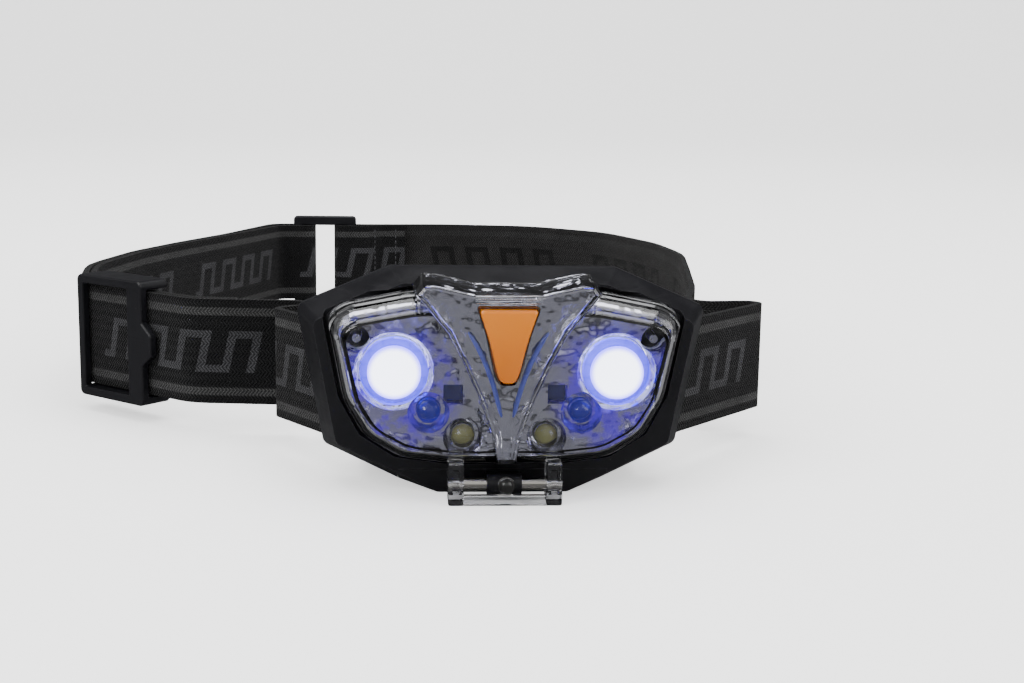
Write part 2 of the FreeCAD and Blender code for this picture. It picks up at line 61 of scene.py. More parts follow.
# Webbing, millimetres
WEB_W = 25.0
WEB_T = 1.6
WEB_Z = 20.5
SLOT_Y = 3.5
LAYER = 2.1
LOOP_R = 2.6
STITCH_ROWS = (-24.0, -31.0)
STITCHES = 13
STITCH_STEP = 1.8
RING_AT = (-48.0, 205.0)
RING_H = 31.0
SAG = math.asin((WEB_Z - RING_H / 2) / (RING_AT[1] - SLOT_Y))
BAND_TILT = Matrix.Rotation(-SAG, 4, "X")
BAND_HINGE = Vector((0, SLOT_Y, WEB_Z))

# Lamp head, outlines as (x, z) of the right half from the bottom, depths as (y, inset)
MAIN_AT = (22.7, 27.1)
BLUE_AT = (15.7, 18.5)
WHITE_AT = (8.6, 13.3)
POST_AT = (30.3, 33.7)
WINDOW_AT = (10.7, 22.4)
COVER = [
    (11.5, 7.0), (22.1, 8.4), (29.4, 13.1), (33.5, 20.9), (36.6, 37.5), (33.8, 40.2), (20, 43.0),
]
COVER_DEPTHS = [
    (-11, 0), (-14.6, 0.3), (-16.6, 0.75), (-18.0, 1.5), (-18.7, 2.3), (-18.9, 2.8), (-19.7, 3.1),
    (-20.2, 3.6), (-20.5, 4.6), (-20.9, 6.6), (-21.2, 9.0), (-21.3, 11.5),
]
RIDGE = [
    (2.4, 9), (3.2, 15), (5.9, 22.3), (9.4, 30.2), (12.4, 36), (19.2, 44.2),
    (17.2, 46.6), (14.5, 46.6), (6.5, 44.8),
]
RIDGE_ROOM = [
    (1.9, 10.0), (2.8, 15.2), (5.3, 22.6), (8.8, 30.5), (11.8, 36.4), (18.0, 43.9),
    (16.8, 45.8), (14.7, 45.8), (6.6, 44.1),
]
RIDGE_DEPTHS = [(-12.3, 0), (-20, 0.25), (-24.0, 0.5), (-25.0, 0.85), (-25.4, 1.35)]
COVER_CORNER = 1.9
WALL = 1.2
BUTTON = [(1.3, 26.4), (2.2, 28.2), (4.0, 35.5), (6.0, 41.4)]
BUTTON_FRONT = -25.8
GUIDE = [(7.9, 36.8, 1.15), (5.5, 32.6, 1.15), (3.5, 28.0, 1.0), (2.0, 22.8, 0.8), (1.2, 19.0, 0.6)]
BUTTON_MID = 30.0
BUTTON_DEPTHS = [
    (-20.6, 0), (BUTTON_FRONT + 0.5, 0.05), (BUTTON_FRONT + 0.15, 0.25), (BUTTON_FRONT, 0.6),
]
STEM_Z = 34.0
PIN_Y = -17.0
PIN_Z = 3.2
EAR = (8.5, 11.7)
BORE_R = 1.32
BLOCK_DEPTHS = [(-12.8, 0), (-16.2, 0.2), (-16.8, 0.6)]
CONSOLE_DEPTHS = [(-13, 0), (-20, 0.1), (-23.2, 0.25), (-23.6, 0.4), (-23.75, 0.6)]
ROOM_DEPTHS = [(-11.5, 0), (-20, 0.1), (-23.6, 0.25), (-24.2, 0.5)]
CONSOLE_GAP = 0.25
CONSOLE_CROWN = 1.5

# Turned shapes, as (radius, y), and each cup as its rim, floor and lamp hole radius
POST = [(0, -17.4), (2.3, -17.4), (2.3, -12.4), (0, -12.4)]
POST_BORE = [(0, -16.4), (0.9, -16.4), (0.9, -8), (0, -8)]
POST_ROOM = [(0, -20), (2.7, -20), (2.7, -11), (0, -11)]
STEM = [(0, -21.6), (1.5, -21.6), (1.5, -16.2), (0, -16.2)]
LED_CHIP = [(0, -14.5), (0.75, -14.45), (1.05, -14.2), (1.1, -13.9), (0, -13.9)]
LED_WELL = [(0, -13.8), (0.9, -13.8), (1.9, -14.6), (2.1, -14.6), (2.2, -13.2), (0, -13.2)]
LED_R = 2.42
MAIN_CUP = (8.1, 7.1, 6.95)
BLUE_CUP = (4.3, 3.4, 2.6)
WHITE_CUP = (4.1, 3.3, 2.6)


# Forehead pad, each step as (inset in millimetres, rise as a share of the thickness)
PAD_STEPS = [
    (0.05, 0.45), (0.5, 0.35), (1.6, 0.12), (0.5, -0.12), (0.5, 0.08), (2.5, 0.1), (3.5, 0.02),
]


# Meshes


def face_outwards(bm):
    """Turns every face of a closed solid outwards."""
    bmesh.ops.recalc_face_normals(bm, faces=bm.faces)
    if bm.calc_volume(signed=True) < 0:
        bmesh.ops.reverse_faces(bm, faces=bm.faces)


def piece(name, bm, body, slot, *materials, smooth=True, closed=True):
    """A finished bmesh as an object that rides on a body."""
    mesh = bpy.data.meshes.new(name)
    if closed:
        face_outwards(bm)
    bm.to_mesh(mesh)
    bm.free()
    for material in materials:
        mesh.materials.append(material)
    mesh.shade_smooth() if smooth else mesh.shade_flat()
    obj = bpy.data.objects.new(name, mesh)
    bpy.context.collection.objects.link(obj)
    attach(obj, body)
    return obj


def in_metres(bm):
    """Scales a bmesh that was drawn in millimetres."""
    bmesh.ops.scale(bm, vec=(MM, MM, MM), verts=bm.verts)


def rounded_edges(obj, width, segments=2, angle=28):
    """A Bevel modifier in millimetres on the piece's sharp edges."""
    bevel = obj.modifiers.new("Edges", "BEVEL")
    bevel.width = width * MM
    bevel.segments = segments
    bevel.limit_method = "ANGLE"
    bevel.angle_limit = math.radians(angle)
    bevel.harden_normals = True
    bevel.use_clamp_overlap = True
    return bevel


def softened(node, body, slot, material, width, segments=2, angle=28):
    """A copy of a CAD node with merged faces and rounded edges, which stands for the node."""
    bm = bmesh.new()
    bm.from_mesh(frame["nodes"][node].data)
    bmesh.ops.remove_doubles(bm, verts=bm.verts, dist=1e-6)
    bmesh.ops.dissolve_limit(
        bm, angle_limit=math.radians(0.5), verts=bm.verts, edges=bm.edges, delimit={"NORMAL"}
    )
    obj = piece(node + "_moulded", bm, body, slot, material)
    obj.data.set_sharp_from_angle(angle=math.radians(angle))
    rounded_edges(obj, width, segments, angle)
    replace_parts(obj, node)
    return obj


def scratch(bm):
    """A passing object for one solid, in millimetres."""
    mesh = bpy.data.meshes.new("scratch")
    face_outwards(bm)
    bm.to_mesh(mesh)
    bm.free()
    obj = bpy.data.objects.new("scratch", mesh)
    bpy.context.collection.objects.link(obj)
    return obj


def sliced(bm, axis, step, first, last):
    """Cuts a solid across at even steps along an axis."""
    for i in range(first, last):
        whole = bm.verts[:] + bm.edges[:] + bm.faces[:]
        bmesh.ops.bisect_plane(bm, geom=whole, plane_co=axis * step * i, plane_no=axis)


def half_width(outline, z):
    """How far a half outline reaches sideways at a height."""
    reach = [1]
    for (x0, z0), (x1, z1) in zip(outline, outline[1:]):
        if z0 <= z <= z1:
            reach.append(x0 + (x1 - x0) * (z - z0) / (z1 - z0))
    return max(reach)


def crowned(bm, outline, front, rise):
    """Rounds the front of a solid across, so that it falls back towards its outline."""
    sliced(bm, X_AXIS, 0.9, -17, 18)
    sliced(bm, Z_AXIS, 1.8, -4, 27)
    for vert in bm.verts:
        if vert.co.y < front:
            off = abs(vert.co.x) / half_width(outline, vert.co.z)
            vert.co.y += rise * min(off, 1) ** 2


def parted(solids):
    """Splits every solid at the middles of all, so that no hole lies wholly inside one face."""
    places = set()
    for bm in solids:
        for axis in (0, 2):
            reach = [vert.co[axis] for vert in bm.verts]
            places.add((axis, round((min(reach) + max(reach)) / 2, 2)))
    for bm in solids:
        for axis, middle in sorted(places):
            normal = Vector((axis == 0, 0, axis == 2))
            whole = bm.verts[:] + bm.edges[:] + bm.faces[:]
            bmesh.ops.bisect_plane(bm, geom=whole, dist=0.001, plane_co=normal * middle, plane_no=normal)


def carved(solid, joined=(), cut=()):
    """A bmesh of one solid with others joined to it, and then others cut from it."""
    parted([solid, *joined, *cut])
    base = scratch(solid)
    tools = []
    for operation, group_of in (("UNION", joined), ("DIFFERENCE", cut)):
        for bm in group_of:
            tool = scratch(bm)
            change = base.modifiers.new(operation, "BOOLEAN")
            change.operation = operation
            change.solver = "MANIFOLD"
            change.object = tool
            tools.append(tool)
    graph = bpy.context.evaluated_depsgraph_get()
    mesh = bpy.data.meshes.new_from_object(base.evaluated_get(graph))
    out = bmesh.new()
    out.from_mesh(mesh)
    for obj in [base] + tools:
        bpy.data.objects.remove(obj)
    bpy.data.meshes.remove(mesh)
    bmesh.ops.remove_doubles(out, verts=out.verts, dist=0.002)
    bmesh.ops.dissolve_degenerate(out, edges=out.edges, dist=0.008)
    return out


def mirrored(half):
    """A whole outline from its right half."""
    return half + [(-x, z) for x, z in reversed(half)]


def outline_face(bm, outline, y, corner, segments):
    """One forward-facing face from an outline, its corners rounded."""
    verts = [bm.verts.new((x, y, z)) for x, z in outline]
    face = bm.faces.new(verts)
    if corner:
        bmesh.ops.bevel(
            bm, geom=verts, offset=corner, segments=segments, profile=0.5,
            affect="VERTICES", material=-1, clamp_overlap=True,
        )
        face = bm.faces[:][0]
    face.normal_update()
    if face.normal.y > 0:
        face.normal_flip()
    return face


def domed(outline, depths, corner=0.0, segments=4):
    """A solid from an outline, which is drawn in towards its middle as it comes forward."""
    bm = bmesh.new()
    face = outline_face(bm, outline, depths[0][0], corner, segments)
    wide = max(x for x, _ in outline)
    low, high = min(z for _, z in outline), max(z for _, z in outline)
    middle, tall = (low + high) / 2, (high - low) / 2
    back = face
    start = depths[0][1]
    bmesh.ops.scale(
        bm, vec=((wide - start) / wide, 1, (tall - start) / tall),
        space=Matrix.Translation((0, 0, -middle)), verts=bm.verts,
    )
    for (y0, in0), (y1, in1) in zip(depths, depths[1:]):
        made = bmesh.ops.extrude_face_region(bm, geom=[face])["geom"]
        if face is not back:
            bmesh.ops.delete(bm, geom=[face], context="FACES_ONLY")
        face = next(e for e in made if isinstance(e, bmesh.types.BMFace))
        verts = list(face.verts)
        bmesh.ops.translate(bm, vec=(0, y1 - y0, 0), verts=verts)
        narrower = ((wide - in1) / (wide - in0), 1, (tall - in1) / (tall - in0))
        bmesh.ops.scale(
            bm, vec=narrower, space=Matrix.Translation((0, 0, -middle)), verts=verts
        )
    return bm


def stepped(outline, depths):
    """A solid from a sharp outline, each step set in evenly all round."""
    bm = bmesh.new()
    face = outline_face(bm, outline, depths[0][0], 0, 0)
    for (y0, in0), (y1, in1) in zip(depths, depths[1:]):
        bmesh.ops.inset_region(
            bm, faces=[face], thickness=max(in1 - in0, 0.001), depth=y0 - y1,
            use_even_offset=True, use_boundary=True,
        )
    bmesh.ops.holes_fill(bm, edges=[e for e in bm.edges if e.is_boundary], sides=0)
    return bm


def thinner(depths, wall):
    """The same depths moved in by the wall, square to the surface."""
    out = []
    for i, (y, gap) in enumerate(depths):
        before, after = depths[max(i - 1, 0)], depths[min(i + 1, len(depths) - 1)]
        along = Vector((after[0] - before[0], after[1] - before[1])).normalized()
        out.append((y + wall * along.y, gap - wall * along.x))
    return out


def spun(profile, x, z, parts=48):
    """A solid of revolution about a line along Y, from (radius, y) points."""
    bm = bmesh.new()
    verts = [bm.verts.new((x + r, y, z)) for r, y in profile]
    edges = [bm.edges.new(pair) for pair in zip(verts, verts[1:])]
    bmesh.ops.spin(
        bm, geom=verts + edges, cent=(x, 0, z), axis=Y_AXIS, angle=2 * math.pi, steps=parts,
        use_merge=True,
    )
    bmesh.ops.remove_doubles(bm, verts=bm.verts, dist=0.0005)
    return bm


def brick(x0, x1, y0, y1, z0, z1, soft=0.0):
    """A block between two corners, its edges rounded."""
    bm = bmesh.new()
    bmesh.ops.create_cube(bm, size=1)
    bmesh.ops.scale(bm, vec=(x1 - x0, y1 - y0, z1 - z0), verts=bm.verts)
    centre = Vector((x0 + x1, y0 + y1, z0 + z1)) / 2
    bmesh.ops.translate(bm, vec=centre, verts=bm.verts)
    if soft:
        bmesh.ops.bevel(
            bm, geom=bm.edges[:], offset=soft, segments=3, profile=0.5,
            affect="EDGES", material=-1,
        )
    return bm


def cross_bar(x0, x1, y, z, r, parts=40):
    """A round bar along X."""
    bm = bmesh.new()
    bmesh.ops.create_cone(
        bm, cap_ends=True, segments=parts, radius1=r, radius2=r, depth=x1 - x0,
        matrix=Matrix.Translation(((x0 + x1) / 2, y, z)) @ Matrix.Rotation(math.pi / 2, 4, "Y"),
    )
    return bm


def even_shading(obj, angle=35):
    """Smooth shading that keeps large flat faces flat."""
    obj.data.set_sharp_from_angle(angle=math.radians(angle))
    for face in obj.data.polygons:
        face.use_smooth = abs(face.normal.y) < 0.9999
    weighted = obj.modifiers.new("Shading", "WEIGHTED_NORMAL")
    weighted.keep_sharp = True
    weighted.weight = 90


# Shader helpers


def add(tree, kind, inputs=(), **settings):
    """One node, its settings made and its inputs linked or set."""
    node = tree.nodes.new("ShaderNode" + kind)
    for key, value in settings.items():
        setattr(node, key, value)
    for key, value in dict(inputs).items():
        if isinstance(value, bpy.types.NodeSocket):
            tree.links.new(value, node.inputs[key])
        else:
            node.inputs[key].default_value = value
    return node


def maths(tree, operation, a, b=0.0, c=0.0, clamp=False):
    """The result of one sum."""
    node = add(tree, "Math", {0: a, 1: b, 2: c}, operation=operation, use_clamp=clamp)
    return node.outputs[0]


def ramp(tree, value, low, high, start=0.0, end=1.0):
    """A value spread from low..high to start..end, and clamped."""
    inputs = {"Value": value, "From Min": low, "From Max": high, "To Min": start, "To Max": end}
    return add(tree, "MapRange", inputs, interpolation_type="SMOOTHSTEP").outputs["Result"]


def mixed(tree, factor, a, b):
    """One colour or the other."""
    node = add(tree, "Mix", {"Factor": factor}, data_type="RGBA")
    for socket, value in ((node.inputs[6], a), (node.inputs[7], b)):
        if isinstance(value, bpy.types.NodeSocket):
            tree.links.new(value, socket)
        else:
            socket.default_value = (*value, 1)
    return node.outputs[2]


def group(name, inputs, outputs):
    """An empty node group, and its input and output nodes."""
    tree = bpy.data.node_groups.new(name, "ShaderNodeTree")
    for label, kind, value in inputs:
        socket = tree.interface.new_socket(label, in_out="INPUT", socket_type=kind)
        if value is not None:
            socket.default_value = value
    for label, kind in outputs:
        tree.interface.new_socket(label, in_out="OUTPUT", socket_type=kind)
    source = tree.nodes.new("NodeGroupInput")
    result = tree.nodes.new("NodeGroupOutput")
    return tree, source.outputs, result.inputs


def use(tree, shared, inputs=()):
    """A shared group placed in a material."""
    node = add(tree, "Group", node_tree=shared)
    for key, value in dict(inputs).items():
        if isinstance(value, bpy.types.NodeSocket):
            tree.links.new(value, node.inputs[key])
        else:
            node.inputs[key].default_value = value
    return node.outputs


FLOAT, VECTOR = "NodeSocketFloat", "NodeSocketVector"


def grain_group():
    """Moulded grain: a fine height and slow patches."""
    tree, given, result = group(
        "Moulded grain",
        [("Place", VECTOR, None), ("Fine", FLOAT, 3.0), ("Slow", FLOAT, 0.12)],
        [("Height", FLOAT), ("Patches", FLOAT)],
    )
    per_mm = maths(tree, "MULTIPLY", given["Fine"], 1000)
    slow = maths(tree, "MULTIPLY", given["Slow"], 1000)
    fine = add(tree, "TexNoise", {"Vector": given["Place"], "Scale": per_mm, "Detail": 2.0})
    wide = add(tree, "TexNoise", {"Vector": given["Place"], "Scale": slow, "Detail": 4.0})
    tree.links.new(fine.outputs["Fac"], result["Height"])
    tree.links.new(wide.outputs["Fac"], result["Patches"])
    return tree


def edge_group():
    """Worn edges: a mask where the surface turns sharply, broken up by grain."""
    tree, given, result = group(
        "Worn edges",
        [("Place", VECTOR, None), ("Reach", FLOAT, 0.0005), ("Broken", FLOAT, 400.0)],
        [("Edge", FLOAT)],
    )
    bevel = add(tree, "Bevel", {"Radius": given["Reach"]}, samples=4)
    flat = add(tree, "NewGeometry").outputs["Normal"]
    same = add(tree, "VectorMath", {0: bevel.outputs[0], 1: flat}, operation="DOT_PRODUCT")
    turned = ramp(tree, same.outputs["Value"], 0.995, 0.85)
    chips = add(tree, "TexNoise", {"Vector": given["Place"], "Scale": given["Broken"]})
    kept = ramp(tree, chips.outputs["Fac"], 0.4, 0.6, 0.35, 1.0)
    tree.links.new(maths(tree, "MULTIPLY", turned, kept), result["Edge"])
    return tree


def dust_group():
    """Dust and fine scratches: a speck mask and a scratch mask."""
    tree, given, result = group(
        "Dust and scratches", [("Place", VECTOR, None)], [("Specks", FLOAT), ("Scratches", FLOAT)]
    )
    cells = add(tree, "TexVoronoi", {"Vector": given["Place"], "Scale": 900.0})
    specks = ramp(tree, cells.outputs["Distance"], 0.1, 0.05)
    rare = add(tree, "TexNoise", {"Vector": given["Place"], "Scale": 260.0})
    few = ramp(tree, rare.outputs["Fac"], 0.62, 0.7)
    stretch = add(tree, "Mapping", {"Vector": given["Place"], "Scale": (60, 60, 2600)})
    stretch.inputs["Rotation"].default_value = (0.5, 0.4, 0.3)
    lines = add(tree, "TexNoise", {"Vector": stretch.outputs[0], "Scale": 1.0, "Detail": 1.0})
    tree.links.new(maths(tree, "MULTIPLY", specks, few), result["Specks"])
    tree.links.new(ramp(tree, lines.outputs["Fac"], 0.68, 0.74), result["Scratches"])
    return tree


GRAIN, EDGES, DUST = grain_group(), edge_group(), dust_group()


def material(name):
    """A new material: its tree, its Principled shader and its object coordinates."""
    mat = bpy.data.materials.new(name)
    mat.use_nodes = True
    tree = mat.node_tree
    place = add(tree, "TexCoord").outputs["Object"]
    return mat, tree, tree.nodes["Principled BSDF"], place


def bump(tree, shader, height, distance, strength=1.0):
    """Feeds a height, in metres, to the shader's normal."""
    node = add(tree, "Bump", {"Height": height, "Distance": distance, "Strength": strength})
    tree.links.new(node.outputs["Normal"], shader.inputs["Normal"])


def constants(shader, **values):
    """Numbers set on the shader's own sockets, words joined by underscores."""
    for key, value in values.items():
        shader.inputs[key.replace("_", " ")].default_value = value


# Finishes


def moulded(name, dark, pale, rough, fine=3.0, relief=0.00002, coat=0.0):
    """Moulded plastic: grain, slow patches, dust and pale worn edges."""
    mat, tree, shader, place = material(name)
    grain = use(tree, GRAIN, {"Place": place, "Fine": fine})
    dust = use(tree, DUST, {"Place": place})
    edge = use(tree, EDGES, {"Place": place})["Edge"]
    body = mixed(tree, grain["Patches"], dark, pale)
    worn = tuple(min(1.0, c * 1.6 + 0.012) for c in pale)
    body = mixed(tree, maths(tree, "MULTIPLY", edge, 0.6), body, worn)
    body = mixed(tree, maths(tree, "MULTIPLY", dust["Specks"], 0.25), body, (0.3, 0.3, 0.3))
    tree.links.new(body, shader.inputs["Base Color"])
    rise = ramp(tree, grain["Patches"], 0.3, 0.7, rough - 0.07, rough + 0.07)
    rise = maths(tree, "ADD", rise, maths(tree, "MULTIPLY", dust["Scratches"], 0.12))
    tree.links.new(rise, shader.inputs["Roughness"])
    constants(shader, Coat_Weight=coat, Coat_Roughness=0.1, Specular_IOR_Level=0.25)
    bump(tree, shader, grain["Height"], relief)
    return mat


def clear_plastic(name, tint, ior=1.49, rough=0.015):
    """Clear moulded plastic with faint smears."""
    mat, tree, shader, place = material(name)
    grain = use(tree, GRAIN, {"Place": place, "Fine": 0.5, "Slow": 0.15})
    dust = use(tree, DUST, {"Place": place})
    constants(shader, Base_Color=(*tint, 1), Transmission_Weight=1.0, IOR=ior)
    smear = ramp(tree, grain["Patches"], 0.45, 0.75, rough, rough + 0.05)
    smear = maths(tree, "ADD", smear, maths(tree, "MULTIPLY", dust["Scratches"], 0.12))
    tree.links.new(smear, shader.inputs["Roughness"])
    bump(tree, shader, grain["Height"], 0.00001, 0.5)
    return mat


def painted_spill_group():
    """A mask for painted lamp light: where the lamps' light falls on what lies round them, strongest below
    each lamp.
    """
    tree, given, result = group("Lamp spill", [("Place", VECTOR, None)], [("Spill", FLOAT)])
    near = []
    for _, s in SIDES:
        centre = (s * (MAIN_AT[0] - 0.5) * MM, 0, (MAIN_AT[1] - 3.5) * MM)
        flat = add(tree, "VectorMath", {0: given["Place"], 1: (1, 0, 1)}, operation="MULTIPLY")
        away = add(tree, "VectorMath", {0: flat.outputs[0], 1: centre}, operation="DISTANCE")
        near.append(away.outputs["Value"])
    off = maths(tree, "MINIMUM", *near)
    noise = add(tree, "TexNoise", {"Vector": given["Place"], "Scale": 330.0, "Detail": 3.0})
    patch = ramp(tree, noise.outputs["Fac"], 0.42, 0.62, 0.15, 1.0)
    tree.links.new(maths(tree, "MULTIPLY", ramp(tree, off, 0.0155, 0.0085), patch), result["Spill"])
    return tree


PAINTED_SPILL = painted_spill_group()
# Colours of the painted violet lamp light on the plating: its glow and its tint.
VIOLET_PAINTED_GLOW = (0.13, 0.05, 1.0)
VIOLET_PAINTED_TINT = (0.10, 0.05, 0.42)


def plated(name, colour, rough, ripple=0.0003, violet=0.0):
    """Bright metal or plating with slow ripples, hazy patches and painted violet lamp light: a violet tint
    and glow painted where the lamps' light falls.
    """
    mat, tree, shader, place = material(name)
    grain = use(tree, GRAIN, {"Place": place, "Fine": 0.17, "Slow": 0.2})
    dust = use(tree, DUST, {"Place": place})
    dull = tuple(c * 0.86 for c in colour)
    body = mixed(tree, grain["Patches"], colour, dull)
    if violet:
        # Painted lamp light: the base colour is tinted violet and the surface glows violet where the
        # lamps' light falls.
        spill = maths(tree, "MULTIPLY", use(tree, PAINTED_SPILL, {"Place": place})["Spill"], violet)
        painted_tint = maths(tree, "MULTIPLY", spill, 1.4, clamp=True)
        body = mixed(tree, painted_tint, body, VIOLET_PAINTED_TINT)
        power = maths(tree, "MULTIPLY", spill, 0.6)
        glow = add(tree, "VectorMath", {0: VIOLET_PAINTED_GLOW, "Scale": power}, operation="SCALE")
        tree.links.new(glow.outputs[0], shader.inputs["Emission Color"])
        constants(shader, Emission_Strength=1.0)
    tree.links.new(body, shader.inputs["Base Color"])
    haze = ramp(tree, grain["Patches"], 0.4, 0.8, rough, rough + 0.1)
    haze = maths(tree, "ADD", haze, maths(tree, "MULTIPLY", dust["Scratches"], 0.1))
    tree.links.new(haze, shader.inputs["Roughness"])
    constants(shader, Metallic=1.0)
    bump(tree, shader, grain["Height"], ripple)
    return mat


def brushed(name, colour, rough, along):
    """Drawn or brushed metal: fine lines across the given axis."""
    mat, tree, shader, place = material(name)
    scale = [1800.0, 1800.0, 1800.0]
    scale[along] = 60.0
    lines = add(tree, "Mapping", {"Vector": place, "Scale": scale})
    noise = add(tree, "TexNoise", {"Vector": lines.outputs[0], "Scale": 1.0, "Detail": 3.0})
    fac = noise.outputs["Fac"]
    dull = tuple(c * 0.7 for c in colour)
    tree.links.new(mixed(tree, fac, colour, dull), shader.inputs["Base Color"])
    tree.links.new(ramp(tree, fac, 0.3, 0.7, rough - 0.08, rough + 0.1), shader.inputs["Roughness"])
    constants(shader, Metallic=1.0)
    bump(tree, shader, fac, 0.00001)
    return mat


def amber():
    """The button's deep glossy amber, darker towards its tip."""
    mat, tree, shader, place = material("amber button")
    grain = use(tree, GRAIN, {"Place": place, "Fine": 0.8, "Slow": 0.1})
    height = add(tree, "SeparateXYZ", {"Vector": place}).outputs["Z"]
    upper = ramp(tree, height, 0.026, 0.042)
    body = mixed(tree, upper, (0.34, 0.078, 0.0006), (0.48, 0.13, 0.001))
    body = mixed(tree, maths(tree, "MULTIPLY", grain["Patches"], 0.3), body, (0.5, 0.16, 0.005))
    tree.links.new(body, shader.inputs["Base Color"])
    tree.links.new(ramp(tree, grain["Patches"], 0.3, 0.7, 0.12, 0.22), shader.inputs["Roughness"])
    constants(shader, Coat_Weight=0.35, Coat_Roughness=0.05, IOR=1.5, Subsurface_Weight=0.15)
    shader.inputs["Subsurface Scale"].default_value = 0.002
    bump(tree, shader, grain["Height"], 0.00003)
    return mat


def lit_optic(name, middle, rim, strength):
    """A lit collimator: whitest in the middle, bluer at the rim."""
    mat, tree, shader, place = material(name)
    near = []
    for _, s in SIDES:
        centre = (s * MAIN_AT[0] * MM, 0, MAIN_AT[1] * MM)
        flat = add(tree, "VectorMath", {0: place, 1: (1, 0, 1)}, operation="MULTIPLY")
        away = add(tree, "VectorMath", {0: flat.outputs[0], 1: centre}, operation="DISTANCE")
        near.append(away.outputs["Value"])
    off = maths(tree, "MINIMUM", *near)
    outer = ramp(tree, off, 0.0042, 0.0056)
    glow = mixed(tree, outer, middle, rim)
    tree.links.new(glow, shader.inputs["Base Color"])
    tree.links.new(glow, shader.inputs["Emission Color"])
    grain = use(tree, GRAIN, {"Place": place, "Fine": 0.6})
    tree.links.new(ramp(tree, grain["Patches"], 0.3, 0.7, 0.08, 0.2), shader.inputs["Roughness"])
    constants(shader, Emission_Strength=strength, IOR=1.49)
    return mat


def epoxy(name, tint, glow=None, strength=0.0):
    """Clear epoxy of an LED, with a faint glow where it is lit."""
    mat = clear_plastic(name, tint, 1.5, 0.02)
    if glow:
        shader = mat.node_tree.nodes["Principled BSDF"]
        constants(shader, Emission_Color=(*glow, 1), Emission_Strength=strength)
    return mat


def weave_group():
    """Woven elastic: ribs across, a herringbone twill and loose fuzz, from metres along and across; the
    relief also serves as a mask for painted shade and highlight.
    """
    tree, given, result = group(
        "Elastic weave", [("Place", VECTOR, None)], [("Height", FLOAT), ("Painted relief shade", FLOAT)]
    )
    parts = add(tree, "SeparateXYZ", {"Vector": given["Place"]})
    along, across = parts.outputs["X"], parts.outputs["Y"]
    fold = maths(tree, "PINGPONG", across, 0.0011)
    slant = maths(tree, "ADD", along, maths(tree, "MULTIPLY", fold, 0.9))
    twill = maths(tree, "SINE", maths(tree, "MULTIPLY", slant, 2 * math.pi / 0.00085))
    rib = maths(tree, "SINE", maths(tree, "MULTIPLY", across, 2 * math.pi / 0.00055))
    noise = add(tree, "TexNoise", {"Vector": given["Place"], "Scale": 1500.0, "Detail": 2.0})
    fuzz = maths(tree, "SUBTRACT", noise.outputs["Fac"], 0.5)
    height = maths(tree, "ADD", twill, maths(tree, "MULTIPLY", rib, 0.35))
    height = maths(tree, "ADD", height, maths(tree, "MULTIPLY", fuzz, 1.2))
    tree.links.new(height, result["Height"])
    tree.links.new(ramp(tree, height, -0.9, 1.1), result["Painted relief shade"])
    return tree


def stripe(tree, across, middle, width):
    """A mask for a stripe that runs along the webbing."""
    off = maths(tree, "ABSOLUTE", maths(tree, "SUBTRACT", across, middle * MM))
    return ramp(tree, off, (width / 2 + 0.12) * MM, (width / 2 - 0.12) * MM)


def motif_group():
    """A generic woven key pattern: slanted strokes joined in turn above and below, in runs."""
    tree, given, result = group("Key motif", [("Place", VECTOR, None)], [("Motif", FLOAT)])
    parts = add(tree, "SeparateXYZ", {"Vector": given["Place"]})
    along, across = parts.outputs["X"], parts.outputs["Y"]
    up = maths(tree, "SUBTRACT", across, WEB_W / 2 * MM)
    leaning = maths(tree, "ADD", along, maths(tree, "MULTIPLY", up, 0.22))
    step = maths(tree, "MODULO", leaning, 0.012)
    stroke_a = maths(tree, "COMPARE", step, 0.001, 0.001)
    stroke_b = maths(tree, "COMPARE", step, 0.007, 0.001)
    above = maths(tree, "COMPARE", up, 0.0041, 0.0009)
    below = maths(tree, "COMPARE", up, -0.0041, 0.0009)
    top_bar = maths(tree, "MULTIPLY", maths(tree, "COMPARE", step, 0.004, 0.004), above)
    foot_bar = maths(tree, "MULTIPLY", maths(tree, "GREATER_THAN", step, 0.006), below)
    foot_bar = maths(tree, "MAXIMUM", foot_bar, maths(tree, "MULTIPLY", stroke_a, below))
    strokes = maths(tree, "MAXIMUM", stroke_a, stroke_b)
    within = maths(tree, "COMPARE", up, 0.0, 0.005)
    strokes = maths(tree, "MULTIPLY", strokes, within)
    shape = maths(tree, "MAXIMUM", strokes, maths(tree, "MAXIMUM", top_bar, foot_bar))
    run = maths(tree, "LESS_THAN", maths(tree, "MODULO", leaning, 0.060), 0.046)
    tree.links.new(maths(tree, "MULTIPLY", shape, run), result["Motif"])
    return tree


WEAVE, MOTIF = weave_group(), motif_group()


